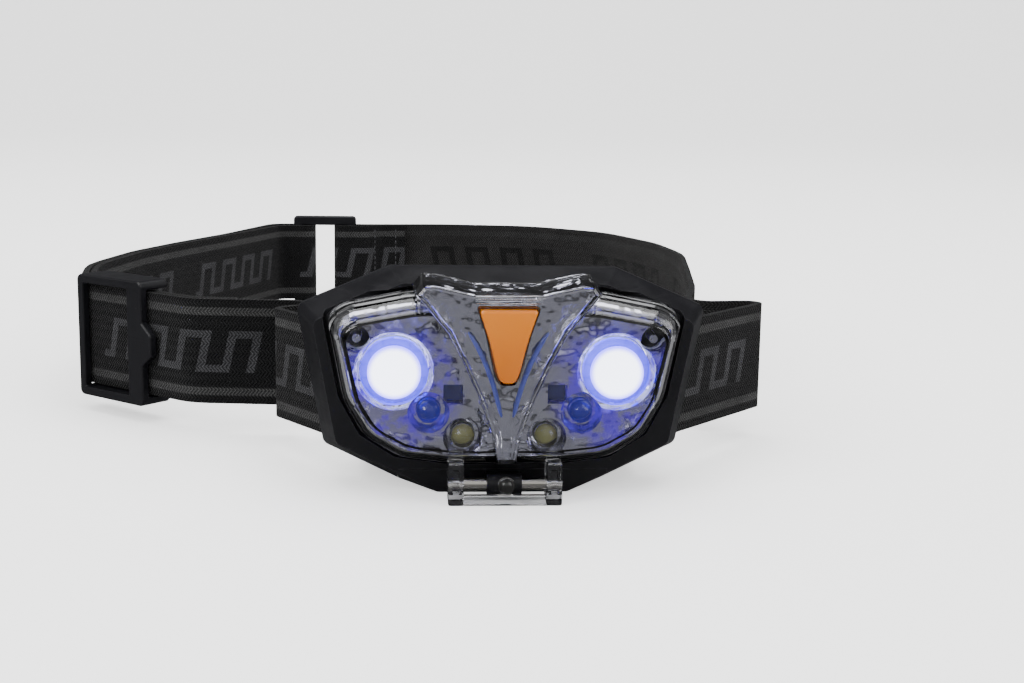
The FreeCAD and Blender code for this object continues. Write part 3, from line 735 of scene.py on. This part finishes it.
def webbing(name, ground, motif, stripes):
    """One face of the headband's webbing."""
    mat, tree, shader, place = material(name)
    flat = add(tree, "UVMap", uv_map="Webbing").outputs["UV"]
    weave = use(tree, WEAVE, {"Place": flat})
    across = add(tree, "SeparateXYZ", {"Vector": flat}).outputs["Y"]
    worn = use(tree, GRAIN, {"Place": place, "Fine": 1.2, "Slow": 0.1})
    lines = maths(
        tree, "MAXIMUM", stripe(tree, across, 2.9, 1.9), stripe(tree, across, WEB_W - 2.9, 1.9)
    )
    key = use(tree, MOTIF, {"Place": flat})["Motif"]
    body = mixed(tree, maths(tree, "MULTIPLY", key, 0.9), ground, motif)
    body = mixed(tree, maths(tree, "MULTIPLY", lines, 0.85), body, stripes)
    # Painted shade and highlight: the weave's hollows are darkened and its raised threads lightened; the
    # slow patches are real worn tone.
    shade = ramp(tree, weave["Painted relief shade"], 0.0, 1.0, 0.4, 1.25)
    shade = maths(tree, "MULTIPLY", shade, ramp(tree, worn["Patches"], 0.3, 0.75, 0.8, 1.15))
    body = add(tree, "VectorMath", {0: body, "Scale": shade}, operation="SCALE").outputs[0]
    tree.links.new(body, shader.inputs["Base Color"])
    tree.links.new(ramp(tree, worn["Height"], 0.2, 0.8, 0.75, 0.95), shader.inputs["Roughness"])
    constants(shader, Sheen_Weight=0.04, Sheen_Roughness=0.5, Specular_IOR_Level=0.12)
    bump(tree, shader, weave["Height"], 0.00012)
    return mat


def foam():
    """Soft foam with a fine knit facing."""
    mat, tree, shader, place = material("knit-faced foam")
    knit = add(tree, "TexVoronoi", {"Vector": place, "Scale": 1300.0})
    worn = use(tree, GRAIN, {"Place": place, "Fine": 2.0, "Slow": 0.08})
    hole = ramp(tree, knit.outputs["Distance"], 0.15, 0.5)
    body = mixed(tree, hole, (0.012, 0.012, 0.014), (0.05, 0.05, 0.055))
    body = mixed(tree, maths(tree, "MULTIPLY", worn["Patches"], 0.3), body, (0.07, 0.07, 0.075))
    tree.links.new(body, shader.inputs["Base Color"])
    tree.links.new(ramp(tree, worn["Height"], 0.2, 0.8, 0.8, 0.98), shader.inputs["Roughness"])
    constants(shader, Sheen_Weight=0.3)
    bump(tree, shader, hole, 0.00025)
    return mat


def cell_wrap():
    """A dry cell's printed wrap: a bright band at one end and bare steel at the caps."""
    mat, tree, shader, place = material("cell wrap")
    grain = use(tree, GRAIN, {"Place": place, "Fine": 0.8, "Slow": 0.1})
    along = maths(tree, "ABSOLUTE", add(tree, "SeparateXYZ", {"Vector": place}).outputs["X"])
    cap = ramp(tree, along, 0.0207, 0.0209)
    band = ramp(tree, along, 0.0148, 0.0150)
    body = mixed(tree, band, (0.012, 0.03, 0.11), (0.55, 0.33, 0.08))
    body = mixed(tree, cap, body, (0.6, 0.6, 0.6))
    body = mixed(tree, maths(tree, "MULTIPLY", grain["Patches"], 0.12), body, (0.2, 0.2, 0.2))
    tree.links.new(body, shader.inputs["Base Color"])
    tree.links.new(cap, shader.inputs["Metallic"])
    tree.links.new(ramp(tree, grain["Patches"], 0.3, 0.7, 0.18, 0.32), shader.inputs["Roughness"])
    bump(tree, shader, grain["Height"], 0.00002)
    return mat


def board_mask():
    """A white circuit board with fine tracks under the mask."""
    mat, tree, shader, place = material("board mask")
    turned = add(tree, "Mapping", {"Vector": place, "Rotation": (math.pi / 2, 0, 0)})
    tracks = add(
        tree, "TexBrick",
        {
            "Vector": turned.outputs[0], "Scale": 90.0, "Mortar Size": 0.02,
            "Color1": (0.72, 0.74, 0.72, 1), "Color2": (0.66, 0.68, 0.66, 1),
            "Mortar": (0.42, 0.5, 0.44, 1),
        },
    )
    grain = use(tree, GRAIN, {"Place": place, "Fine": 1.0})
    body = mixed(
        tree, maths(tree, "MULTIPLY", grain["Patches"], 0.2), tracks.outputs["Color"], (0.5, 0.5, 0.48)
    )
    tree.links.new(body, shader.inputs["Base Color"])
    tree.links.new(ramp(tree, grain["Patches"], 0.3, 0.7, 0.35, 0.5), shader.inputs["Roughness"])
    bump(tree, shader, tracks.outputs["Fac"], 0.00003)
    return mat


def phosphor():
    """An LED chip: yellowish phosphor with slow patches and a fine relief."""
    mat, tree, shader, place = material("phosphor chip")
    grain = use(tree, GRAIN, {"Place": place, "Fine": 2.0, "Slow": 0.4})
    body = mixed(tree, grain["Patches"], (0.24, 0.24, 0.05), (0.32, 0.31, 0.12))
    tree.links.new(body, shader.inputs["Base Color"])
    tree.links.new(ramp(tree, grain["Patches"], 0.3, 0.7, 0.3, 0.5), shader.inputs["Roughness"])
    bump(tree, shader, grain["Height"], 0.00003)
    return mat


BLACK = moulded("satin black plastic", (0.004, 0.004, 0.005), (0.007, 0.007, 0.009), 0.38)
CLEAR = clear_plastic("clear cover", (0.97, 0.975, 1.0))
PLATING = plated("bright plating", (0.60, 0.60, 0.67), 0.05, ripple=0.0022, violet=0.6)
AMBER = amber()
STEEL = brushed("zinc-plated steel", (0.56, 0.56, 0.58), 0.3, 1)
PIN = brushed("smooth pin", (0.62, 0.60, 0.55), 0.25, 0)
CONTACT = plated("nickel contact", (0.66, 0.63, 0.56), 0.22)
WRAP = cell_wrap()
BOARD = board_mask()
LIT = lit_optic("lit optic", (0.86, 0.9, 1.0), (0.16, 0.12, 1.0), 5.0)
BARREL = epoxy("lit barrel", (0.16, 0.15, 0.85), (0.12, 0.08, 1.0), 0.6)
CHIP = phosphor()
BLUE_CHIP = moulded("blue chip", (0.04, 0.05, 0.34), (0.08, 0.10, 0.5), 0.3, 1.5)
BLUE_EPOXY = epoxy("blue-lit epoxy", (0.09, 0.10, 0.55), (0.05, 0.06, 1.0), 0.03)
CLEAR_EPOXY = epoxy("clear epoxy", (0.96, 0.95, 0.9))
DARK_BLUE = moulded("dark blue tint", (0.008, 0.012, 0.09), (0.015, 0.02, 0.14), 0.15, 0.8, coat=0.5)
BLUE_TINT = moulded("blue light guide", (0.035, 0.05, 0.26), (0.07, 0.09, 0.36), 0.15, 0.8, coat=0.5)
FACE = webbing("webbing face", (0.004, 0.004, 0.0045), (0.034, 0.034, 0.037), (0.038, 0.038, 0.038))
BACK = webbing("webbing back", (0.014, 0.0135, 0.0135), (0.004, 0.004, 0.004), (0.02, 0.02, 0.02))
FOAM = foam()
THREAD = moulded("sewing thread", (0.02, 0.02, 0.022), (0.035, 0.035, 0.038), 0.7)

FINISHES = {
    "black_plastic": BLACK, "clear_cover": CLEAR, "bright_plating": PLATING,
    "amber_button": AMBER, "steel": STEEL, "pin_metal": PIN, "contact_metal": CONTACT,
    "cell_wrap": WRAP, "board": BOARD, "main_light": LIT, "led_base": CHIP,
    "blue_led": BLUE_EPOXY, "clear_led": CLEAR_EPOXY, "blue_window": DARK_BLUE,
    "blue_guide": BLUE_TINT, "webbing": FACE, "foam": FOAM,
}


def finish_nodes():
    """Every CAD node gets its slot's finish, and the main rings the lit barrel."""
    for sub in frame["record"]["subparts"]:
        node = frame["nodes"][sub["node"]]
        node.data.materials.clear()
        barrel = sub["node"].startswith("main_ring")
        node.data.materials.append(BARREL if barrel else FINISHES[sub["material_slot"]])


# Lamp head


def side_spans(side, low, high):
    """Two values in rising order on one side of the middle."""
    return sorted((side * low, side * high))


def round_button(side, end):
    """The button's outline, grown at its sides and at both ends."""
    return [(x + side, z - end if z < BUTTON_MID else z + end) for x, z in BUTTON]


def clear_cover():
    """The clear cover: bulged wings, the ridge over them, and the bracket for the pin."""
    wings = domed(mirrored(COVER), COVER_DEPTHS, COVER_CORNER)
    hollow = [(-10.5, WALL)] + thinner(COVER_DEPTHS, WALL)[1:]
    joined = [stepped(mirrored(RIDGE), RIDGE_DEPTHS)]
    cut = [domed(mirrored(COVER), hollow, COVER_CORNER)]
    cut.append(stepped(mirrored(RIDGE_ROOM), ROOM_DEPTHS))
    cut.append(domed(mirrored(round_button(0.3, 0.3)), [(-20, 0), (-27, 0)], 0.9, 4))
    for _, s in SIDES:
        x0, x1 = side_spans(s, *EAR)
        joined.append(brick(x0, x1, PIN_Y - 5, PIN_Y + 1.6, 0.01, 8.8, 0.35))
        cut.append(brick(x0 + 0.9, x1 - 0.9, PIN_Y - 5.5, PIN_Y - 3.2, 2.4, 7.4, 0.2))
        joined.append(spun(POST, s * POST_AT[0], POST_AT[1]))
        cut.append(spun(POST_BORE, s * POST_AT[0], POST_AT[1]))
    joined.append(brick(-11.2, 11.2, PIN_Y - 5, PIN_Y - 3.4, 0.01, 2.2, 0.3))
    for step in range(3):
        z, half = 42.3 + 0.8 * step, 6.6 + 0.2 * step
        joined.append(brick(-half, half, -25.55, -24.8, z, z + 0.42, 0.12))
    cut.append(cross_bar(-13, 13, PIN_Y, PIN_Z, BORE_R))
    bm = carved(wings, joined, cut)
    in_metres(bm)
    obj = piece("cover_clear", bm, "head", "clear_cover", CLEAR)
    even_shading(obj, 30)
    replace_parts(obj, "front_lens")


def cup(x, z, rim, floor, hole):
    """The tool that hollows one cup: a dish and a straight hole for its lamp."""
    steps = 7
    dish = [(0, -18.2), (rim + 0.25, -18.2), (rim + 0.25, -17.0)]
    for i in range(steps + 1):
        t = i / steps
        dish.append((rim + (floor - rim) * t, -16.8 + 3.4 * math.sqrt(t)))
    return spun(dish + [(hole, -13.35), (hole, -12), (0, -12)], x, z)


def reflector():
    """The plated reflector: a dished block, and the raised console under the ridge."""
    inner = [(x * 0.95, z * 0.9 + 2.6) for x, z in COVER]
    block = domed(mirrored(inner), BLOCK_DEPTHS, 1.7)
    console_out = [(x - CONSOLE_GAP, z) for x, z in RIDGE_ROOM]
    console = stepped(mirrored(console_out), CONSOLE_DEPTHS)
    crowned(console, RIDGE_ROOM, -19.5, CONSOLE_CROWN)
    cut = []
    for _, s in SIDES:
        for (x, z), radii in ((MAIN_AT, MAIN_CUP), (BLUE_AT, BLUE_CUP), (WHITE_AT, WHITE_CUP)):
            cut.append(cup(s * x, z, *radii))
        cut.append(spun(POST_ROOM, s * POST_AT[0], POST_AT[1]))
        x, z = s * WINDOW_AT[0], WINDOW_AT[1]
        cut.append(brick(x - 2, x + 2, -19, -12, z - 2, z + 2))
    cut.append(domed(mirrored(round_button(0.55, 0.6)), [(-12, 0), (-24.5, 0)], 1.0, 4))
    bm = carved(block, [console], cut)
    in_metres(bm)
    obj = piece("reflector_plated", bm, "head", "bright_plating", PLATING)
    even_shading(obj, 30)
    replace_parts(obj, "reflector")


def light_guides():
    """The two slim tinted bars that run down the console, each thinner towards its foot."""
    for side, s in SIDES:
        bm = bmesh.new()
        ring = bmesh.ops.create_circle(bm, segments=12, radius=1, cap_ends=False)["verts"]
        x, z, wide = GUIDE[0]
        bmesh.ops.scale(bm, vec=(wide, 0.7, 1), verts=ring)
        bmesh.ops.rotate(bm, cent=(0, 0, 0), matrix=Matrix.Rotation(math.radians(-35), 3, "Y"), verts=ring)
        bmesh.ops.translate(bm, vec=(x, -23.5, z), verts=ring)
        edges = [e for e in bm.edges]
        ends = [edges]
        for (x0, z0, w0), (x1, z1, w1) in zip(GUIDE, GUIDE[1:]):
            made = bmesh.ops.extrude_edge_only(bm, edges=edges)["geom"]
            verts = [e for e in made if isinstance(e, bmesh.types.BMVert)]
            edges = [e for e in made if isinstance(e, bmesh.types.BMEdge)]
            centre = Matrix.Translation((-x0, 23.5, -z0))
            bmesh.ops.scale(bm, vec=(w1 / w0, 1, w1 / w0), space=centre, verts=verts)
            bmesh.ops.translate(bm, vec=(x1 - x0, 0, z1 - z0), verts=verts)
        ends.append(edges)
        for loop_edges in ends:
            bmesh.ops.holes_fill(bm, edges=loop_edges, sides=0)
        if s < 0:
            bmesh.ops.scale(bm, vec=(-1, 1, 1), verts=bm.verts)
        in_metres(bm)
        obj = piece("guide_" + side, bm, "head", "blue_guide", BLUE_TINT)
        smooth = obj.modifiers.new("Smooth", "SUBSURF")
        smooth.levels = smooth.render_levels = 2
        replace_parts(obj, "light_guide_" + side)


def led_dome():
    """The outline of an LED's dome with the flange at its foot."""
    arc = [math.pi / 2 - i * math.pi / 16 for i in range(9)]
    dome = [(LED_R * math.cos(a), -15.4 - LED_R * math.sin(a)) for a in arc]
    dome[0] = (0, dome[0][1])
    return dome + [(LED_R, -13.2), (2.75, -13.2), (2.75, -12.3), (0, -12.3)]


def leds():
    """The four round LEDs: an epoxy dome over a plated cup with its chip."""
    chips = {"blue": BLUE_CHIP, "white": CHIP}
    for name, (x, z), glass in (("blue", BLUE_AT, BLUE_EPOXY), ("white", WHITE_AT, CLEAR_EPOXY)):
        for side, s in SIDES:
            bm = spun(led_dome(), s * x, z)
            in_metres(bm)
            obj = piece(f"led_{name}_{side}", bm, "head", "clear_led", glass)
            even_shading(obj, 40)
            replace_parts(obj, f"{name}_led_{side}")
            for part, profile, finish in (
                ("chip", LED_CHIP, chips[name]), ("well", LED_WELL, PLATING),
            ):
                bm = spun(profile, s * x, z, 24)
                in_metres(bm)
                inner = piece(f"{part}_{name}_{side}", bm, "head", "led_base", finish)
                even_shading(inner, 40)


def push_button():
    """The amber button with its flange and stem."""
    cap = domed(mirrored(BUTTON), BUTTON_DEPTHS, 0.8, 4)
    flange = domed(mirrored(round_button(0.35, 0.3)), [(-21.4, 0), (-22.4, 0)], 0.8, 3)
    bm = carved(cap, [flange, spun(STEM, 0, STEM_Z)])
    in_metres(bm)
    obj = piece("button_amber", bm, "button", "amber_button", AMBER)
    even_shading(obj, 35)
    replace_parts(obj, "button")


# Black mouldings and loops, each with the width of its edges in millimetres
EDGE_WIDTHS = {
    "front_bezel": 0.45, "hinge_block": 0.5, "rear_case": 0.4, "battery_door": 0.3,
    "rear_ring": 0.5, "strap_slider": 0.5,
}


def rounded_mouldings():
    """Copies of the black mouldings with rounded edges, each on its node's body."""
    bodies = frame["record"]["behaviour"]["bodies"]
    slots = {sub["node"]: sub["material_slot"] for sub in frame["record"]["subparts"]}
    for part, width in EDGE_WIDTHS.items():
        body = next(name for name, nodes in bodies.items() if part in nodes)
        softened(part, body, slots[part], FINISHES[slots[part]], width)


# Headband


def heading(a, b):
    """The unit direction from one route point to the next."""
    return Vector((b[0] - a[0], b[1] - a[1], 0)).normalized()


def beside(path, gap):
    """A route moved sideways by the gap, its bends kept parallel."""
    out = []
    for before, at, after in zip(path, path[1:], path[2:]):
        u, w = heading(before, at), heading(at, after)
        left, next_left = Vector((-u.y, u.x, 0)), Vector((-w.y, w.x, 0))
        reach = gap / math.cos(left.angle(next_left) / 2)
        spot = Vector((at[0], at[1], 0)) + (left + next_left).normalized() * reach
        turn = math.copysign(1, u.cross(w).z)
        out.append((spot.x, spot.y, at[2] - turn * gap))
    return out


def front_end(side):
    """The folded end of the webbing, caught in the case, and the way out."""
    return [
        (side * 29.3, SLOT_Y + 2.1, 0), (side * 27.2, SLOT_Y + 2.1, 1.04),
        (side * 27.2, SLOT_Y, 1.04), (side * 35.5, SLOT_Y, 4),
    ]


def long_route():
    """Out of the case, through the slider, round the ring and back."""
    outer = [
        (-50.3, 25, 2.6), (-36, 34.5, 4), (-71, 38.2, 12), (-101.7, 64.8, 8),
        (-106, 98, 40), (-99, 128, 40), (-90, 150, 60), (-78, 175, 40), (-65.5, 207.6, 6),
    ]
    x_turn = RING_AT[0] - 3.9
    y_out, y_in = RING_AT[1] + LOOP_R, RING_AT[1] - LOOP_R
    back = beside(outer[1:] + [(x_turn, y_out, 0)], -LAYER)
    turn = [(x_turn, y_out, LOOP_R - 0.02), (x_turn, y_in, LOOP_R - 0.02)]
    inner = [(-63.6, y_in, 5)] + list(reversed(back[:-1])) + [(-60, 38.9, 0)]
    return front_end(-1) + outer + turn + inner


def short_route():
    """Sewn round the ring and caught in the case's right side."""
    x_turn = RING_AT[0] + 3.9
    y_out, y_in = RING_AT[1] + LOOP_R, RING_AT[1] - LOOP_R
    sewn = [(-21, 206.35, 0), (-29, 205.8, 3), (-34.5, y_in, 3)]
    turn = [(x_turn, y_in, LOOP_R - 0.02), (x_turn, y_out, LOOP_R - 0.02)]
    main = [
        (-34.5, y_out, 8), (-8, 209.5, 40), (22, 205.5, 30), (45, 188, 30), (57.5, 158, 40),
        (61.5, 130, 60), (57, 95, 80), (52.5, 62, 40), (46.5, 36.5, 5), (67.5, 38.5, 2.6),
    ]
    return sewn + turn + main + list(reversed(front_end(1)))


def moves(path):
    """The short moves along a route: a straight step, or a part turn about a bend's centre."""
    used = 0.0
    for i in range(1, len(path)):
        here = Vector((path[i][0], path[i][1], 0))
        u = heading(path[i - 1], path[i])
        run = (here - Vector((path[i - 1][0], path[i - 1][1], 0))).length - used
        reach, angle = 0.0, 0.0
        if i < len(path) - 1:
            w = heading(path[i], path[i + 1])
            angle = math.copysign(u.angle(w), u.cross(w).z)
            reach = path[i][2] * math.tan(abs(angle) / 2)
        run -= reach
        for _ in range(max(1, round(run / 4))):
            yield run / max(1, round(run / 4)), 0.0, u, None
        if angle:
            left = Vector((-u.y, u.x, 0)) * math.copysign(path[i][2], angle)
            centre = here - u * reach + left
            parts = max(2, round(abs(angle) / math.radians(9)))
            for _ in range(parts):
                yield path[i][2] * abs(angle) / parts, angle / parts, None, centre
        used = reach


def woven_strip(name, path):
    """A strip of webbing, extruded edge by edge along its route."""
    bm = bmesh.new()
    far = bm.verts.layers.float.new("far")
    low = WEB_Z - WEB_W / 2
    rows = [0.0, 0.6, 2.0, 6.0, 12.5, 19.0, 23.0, 24.4, 25.0]
    column = [bm.verts.new((path[0][0], path[0][1], low + row)) for row in rows]
    edges = [bm.edges.new(pair) for pair in zip(column, column[1:])]
    travelled = 0.0
    for length, angle, direction, centre in moves(path):
        made = bmesh.ops.extrude_edge_only(bm, edges=edges)["geom"]
        verts = [e for e in made if isinstance(e, bmesh.types.BMVert)]
        edges = [e for e in made if isinstance(e, bmesh.types.BMEdge)]
        if direction is None:
            bmesh.ops.rotate(bm, verts=verts, cent=centre, matrix=Matrix.Rotation(angle, 3, "Z"))
        else:
            bmesh.ops.translate(bm, verts=verts, vec=direction * length)
        travelled += length
        for vert in verts:
            vert[far] = travelled
    flat = bm.loops.layers.uv.new("Webbing")
    for face in bm.faces:
        for loop in face.loops:
            loop[flat].uv = (loop.vert[far] * MM, (loop.vert.co.z - low) * MM)
    bmesh.ops.reverse_faces(bm, faces=bm.faces)
    bmesh.ops.rotate(bm, verts=bm.verts, cent=BAND_HINGE, matrix=BAND_TILT)
    in_metres(bm)
    obj = piece(name, bm, "base", "webbing", FACE, BACK, closed=False)
    thick = obj.modifiers.new("Thickness", "SOLIDIFY")
    thick.thickness = WEB_T * MM
    thick.offset = 0.0
    thick.material_offset = 1
    thick.material_offset_rim = 0
    rounded_edges(obj, 0.35, 2, 50)
    return obj


def stitches():
    """The two rows of thread that close the short strap's fold at the ring."""
    bm = bmesh.new()
    for x in STITCH_ROWS:
        for i in range(STITCHES):
            made = bmesh.ops.create_uvsphere(bm, u_segments=6, v_segments=4, radius=0.5)["verts"]
            bmesh.ops.scale(bm, vec=(0.36, 0.36, 1.25), verts=made)
            up = WEB_Z + STITCH_STEP * (i - (STITCHES - 1) / 2)
            place = Vector((x, RING_AT[1] - LOOP_R - WEB_T / 2, up))
            bmesh.ops.translate(bm, vec=place, verts=made)
    bmesh.ops.rotate(bm, verts=bm.verts, cent=BAND_HINGE, matrix=BAND_TILT)
    in_metres(bm)
    piece("strap_stitches", bm, "base", "webbing", THREAD)


def headband():
    """Both straps."""
    stitches()
    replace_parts(woven_strip("webbing_long", long_route()), "strap_long")
    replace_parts(woven_strip("webbing_short", short_route()), "strap_short")


# Forehead pad


def forehead_pad():
    """The soft pad on the battery door: a crowned cushion with a stitched edge."""
    low, high = [Vector(c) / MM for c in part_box("forehead_pad")]
    wide, middle = high.x - 0.4, (low.z + high.z) / 2
    tall = (high.z - low.z) / 2 - 0.4
    shape = [(0.40, -1), (0.86, -0.72), (1, -0.35), (1, 0.55), (0.84, 0.86), (0.6, 1)]
    bm = bmesh.new()
    face = outline_face(bm, mirrored([(wide * x, middle + tall * z) for x, z in shape]), low.y, 2.5, 3)
    bmesh.ops.recalc_face_normals(bm, faces=bm.faces)
    if face.normal.y < 0:
        face.normal_flip()
    deep = high.y - low.y
    for inset, rise in PAD_STEPS:
        bmesh.ops.inset_region(bm, faces=[face], thickness=inset, depth=deep * rise, use_boundary=True)
    bmesh.ops.holes_fill(bm, edges=[e for e in bm.edges if e.is_boundary], sides=0)
    in_metres(bm)
    obj = piece("pad_foam", bm, "door", "foam", FOAM)
    smooth = obj.modifiers.new("Smooth", "SUBSURF")
    smooth.levels = smooth.render_levels = 2
    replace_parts(obj, "forehead_pad")


# Stage


def camera():
    """The camera, level with the lamp's upper front."""
    data = bpy.data.cameras.new("camera")
    data.lens = FOCAL
    data.sensor_width = 36
    data.clip_start = 0.01
    obj = bpy.data.objects.new("camera", data)
    obj.location = EYE * MM
    turn = (TARGET - EYE).to_track_quat("-Z", "Y")
    obj.rotation_mode = "QUATERNION"
    obj.rotation_quaternion = turn @ Quaternion(Z_AXIS, math.radians(ROLL))
    bpy.context.collection.objects.link(obj)
    bpy.context.scene.camera = obj


def area_light(name, place, towards, size, power, colour=(1, 1, 1)):
    """A soft square light, its place and size in metres."""
    data = bpy.data.lights.new(name, "AREA")
    data.size = size
    data.energy = power
    data.color = colour
    obj = bpy.data.objects.new(name, data)
    obj.location = place
    obj.rotation_euler = (Vector(towards) - Vector(place)).to_track_quat("-Z", "Y").to_euler()
    bpy.context.collection.objects.link(obj)


def reflected_in(tree):
    """One where a surface is seen by way of a gloss reflection, otherwise nought."""
    return maths(tree, "MINIMUM", add(tree, "LightPath").outputs["Glossy Depth"], 1.0)


def floor_with_back():
    """A pale floor that curves up behind, darker in reflections."""
    bm = bmesh.new()
    edge = [bm.edges.new((bm.verts.new((-4, -4, 0)), bm.verts.new((4, -4, 0))))]
    for kind, amount in (("run", 5.0), ("bend", 90), ("rise", 3.0)):
        for _ in range(12 if kind == "bend" else 1):
            made = bmesh.ops.extrude_edge_only(bm, edges=edge)["geom"]
            verts = [e for e in made if isinstance(e, bmesh.types.BMVert)]
            edge = [e for e in made if isinstance(e, bmesh.types.BMEdge)]
            if kind == "bend":
                turn = Matrix.Rotation(math.radians(amount / 12), 3, "X")
                bmesh.ops.rotate(bm, verts=verts, cent=(0, 1, 0.8), matrix=turn)
            else:
                step = (0, amount, 0) if kind == "run" else (0, 0, amount)
                bmesh.ops.translate(bm, vec=step, verts=verts)
    mesh = bpy.data.meshes.new("floor")
    bmesh.ops.recalc_face_normals(bm, faces=bm.faces)
    bm.to_mesh(mesh)
    bm.free()
    mesh.shade_smooth()
    mat, tree, shader, _ = material("floor")
    shade = mixed(tree, reflected_in(tree), (0.92, 0.92, 0.92), (0.15, 0.15, 0.155))
    tree.links.new(shade, shader.inputs["Base Color"])
    seen = maths(tree, "MULTIPLY", add(tree, "LightPath").outputs["Is Camera Ray"], 0.8)
    tree.links.new(seen, shader.inputs["Emission Strength"])
    constants(shader, Roughness=0.9, Specular_IOR_Level=0.0, Emission_Color=(1, 1, 1, 1))
    mesh.materials.append(mat)
    floor = bpy.data.objects.new("floor", mesh)
    bpy.context.collection.objects.link(floor)


def surround():
    """A white world, seen in reflections as dark low down and bright above."""
    world = bpy.data.worlds.new("surround")
    world.use_nodes = True
    tree = world.node_tree
    up = add(tree, "SeparateXYZ", {"Vector": add(tree, "TexCoord").outputs["Generated"]})
    seen = ramp(tree, up.outputs["Z"], 0.08, 0.5, 0.08, 0.8)
    power = add(tree, "Mix", {"Factor": reflected_in(tree), "A": 1.15, "B": seen}, data_type="FLOAT")
    background = tree.nodes["Background"].inputs
    tree.links.new(power.outputs["Result"], background["Strength"])
    background["Color"].default_value = (1, 1, 1, 1)
    bpy.context.scene.world = world


def stage():
    """The floor, the soft lights and the surround."""
    floor_with_back()
    area_light("overhead", (0.0, 0.1, 0.9), (0, 0.05, 0), 0.9, 10)
    area_light("left key", (-0.7, -0.5, 0.6), (0, 0, 0.02), 0.5, 6)
    area_light("right fill", (0.8, -0.4, 0.5), (0, 0, 0.02), 0.6, 4)
    surround()


def lamp_glow():
    """Small violet lights behind the cover, below each main cup, for the light that spills there."""
    for side, s in SIDES:
        data = bpy.data.lights.new("glow " + side, "POINT")
        data.energy = 0.06
        data.color = (0.22, 0.16, 1.0)
        data.shadow_soft_size = 0.002
        obj = bpy.data.objects.new("glow " + side, data)
        obj.visible_camera = False
        obj.visible_glossy = False
        obj.visible_transmission = False
        obj.location = Vector((s * (MAIN_AT[0] + 2), -18.6, MAIN_AT[1] - 9)) * MM
        bpy.context.collection.objects.link(obj)


camera()
stage()
lamp_glow()
finish_nodes()
headband()
clear_cover()
reflector()
light_guides()
leds()
push_button()
forehead_pad()
rounded_mouldings()
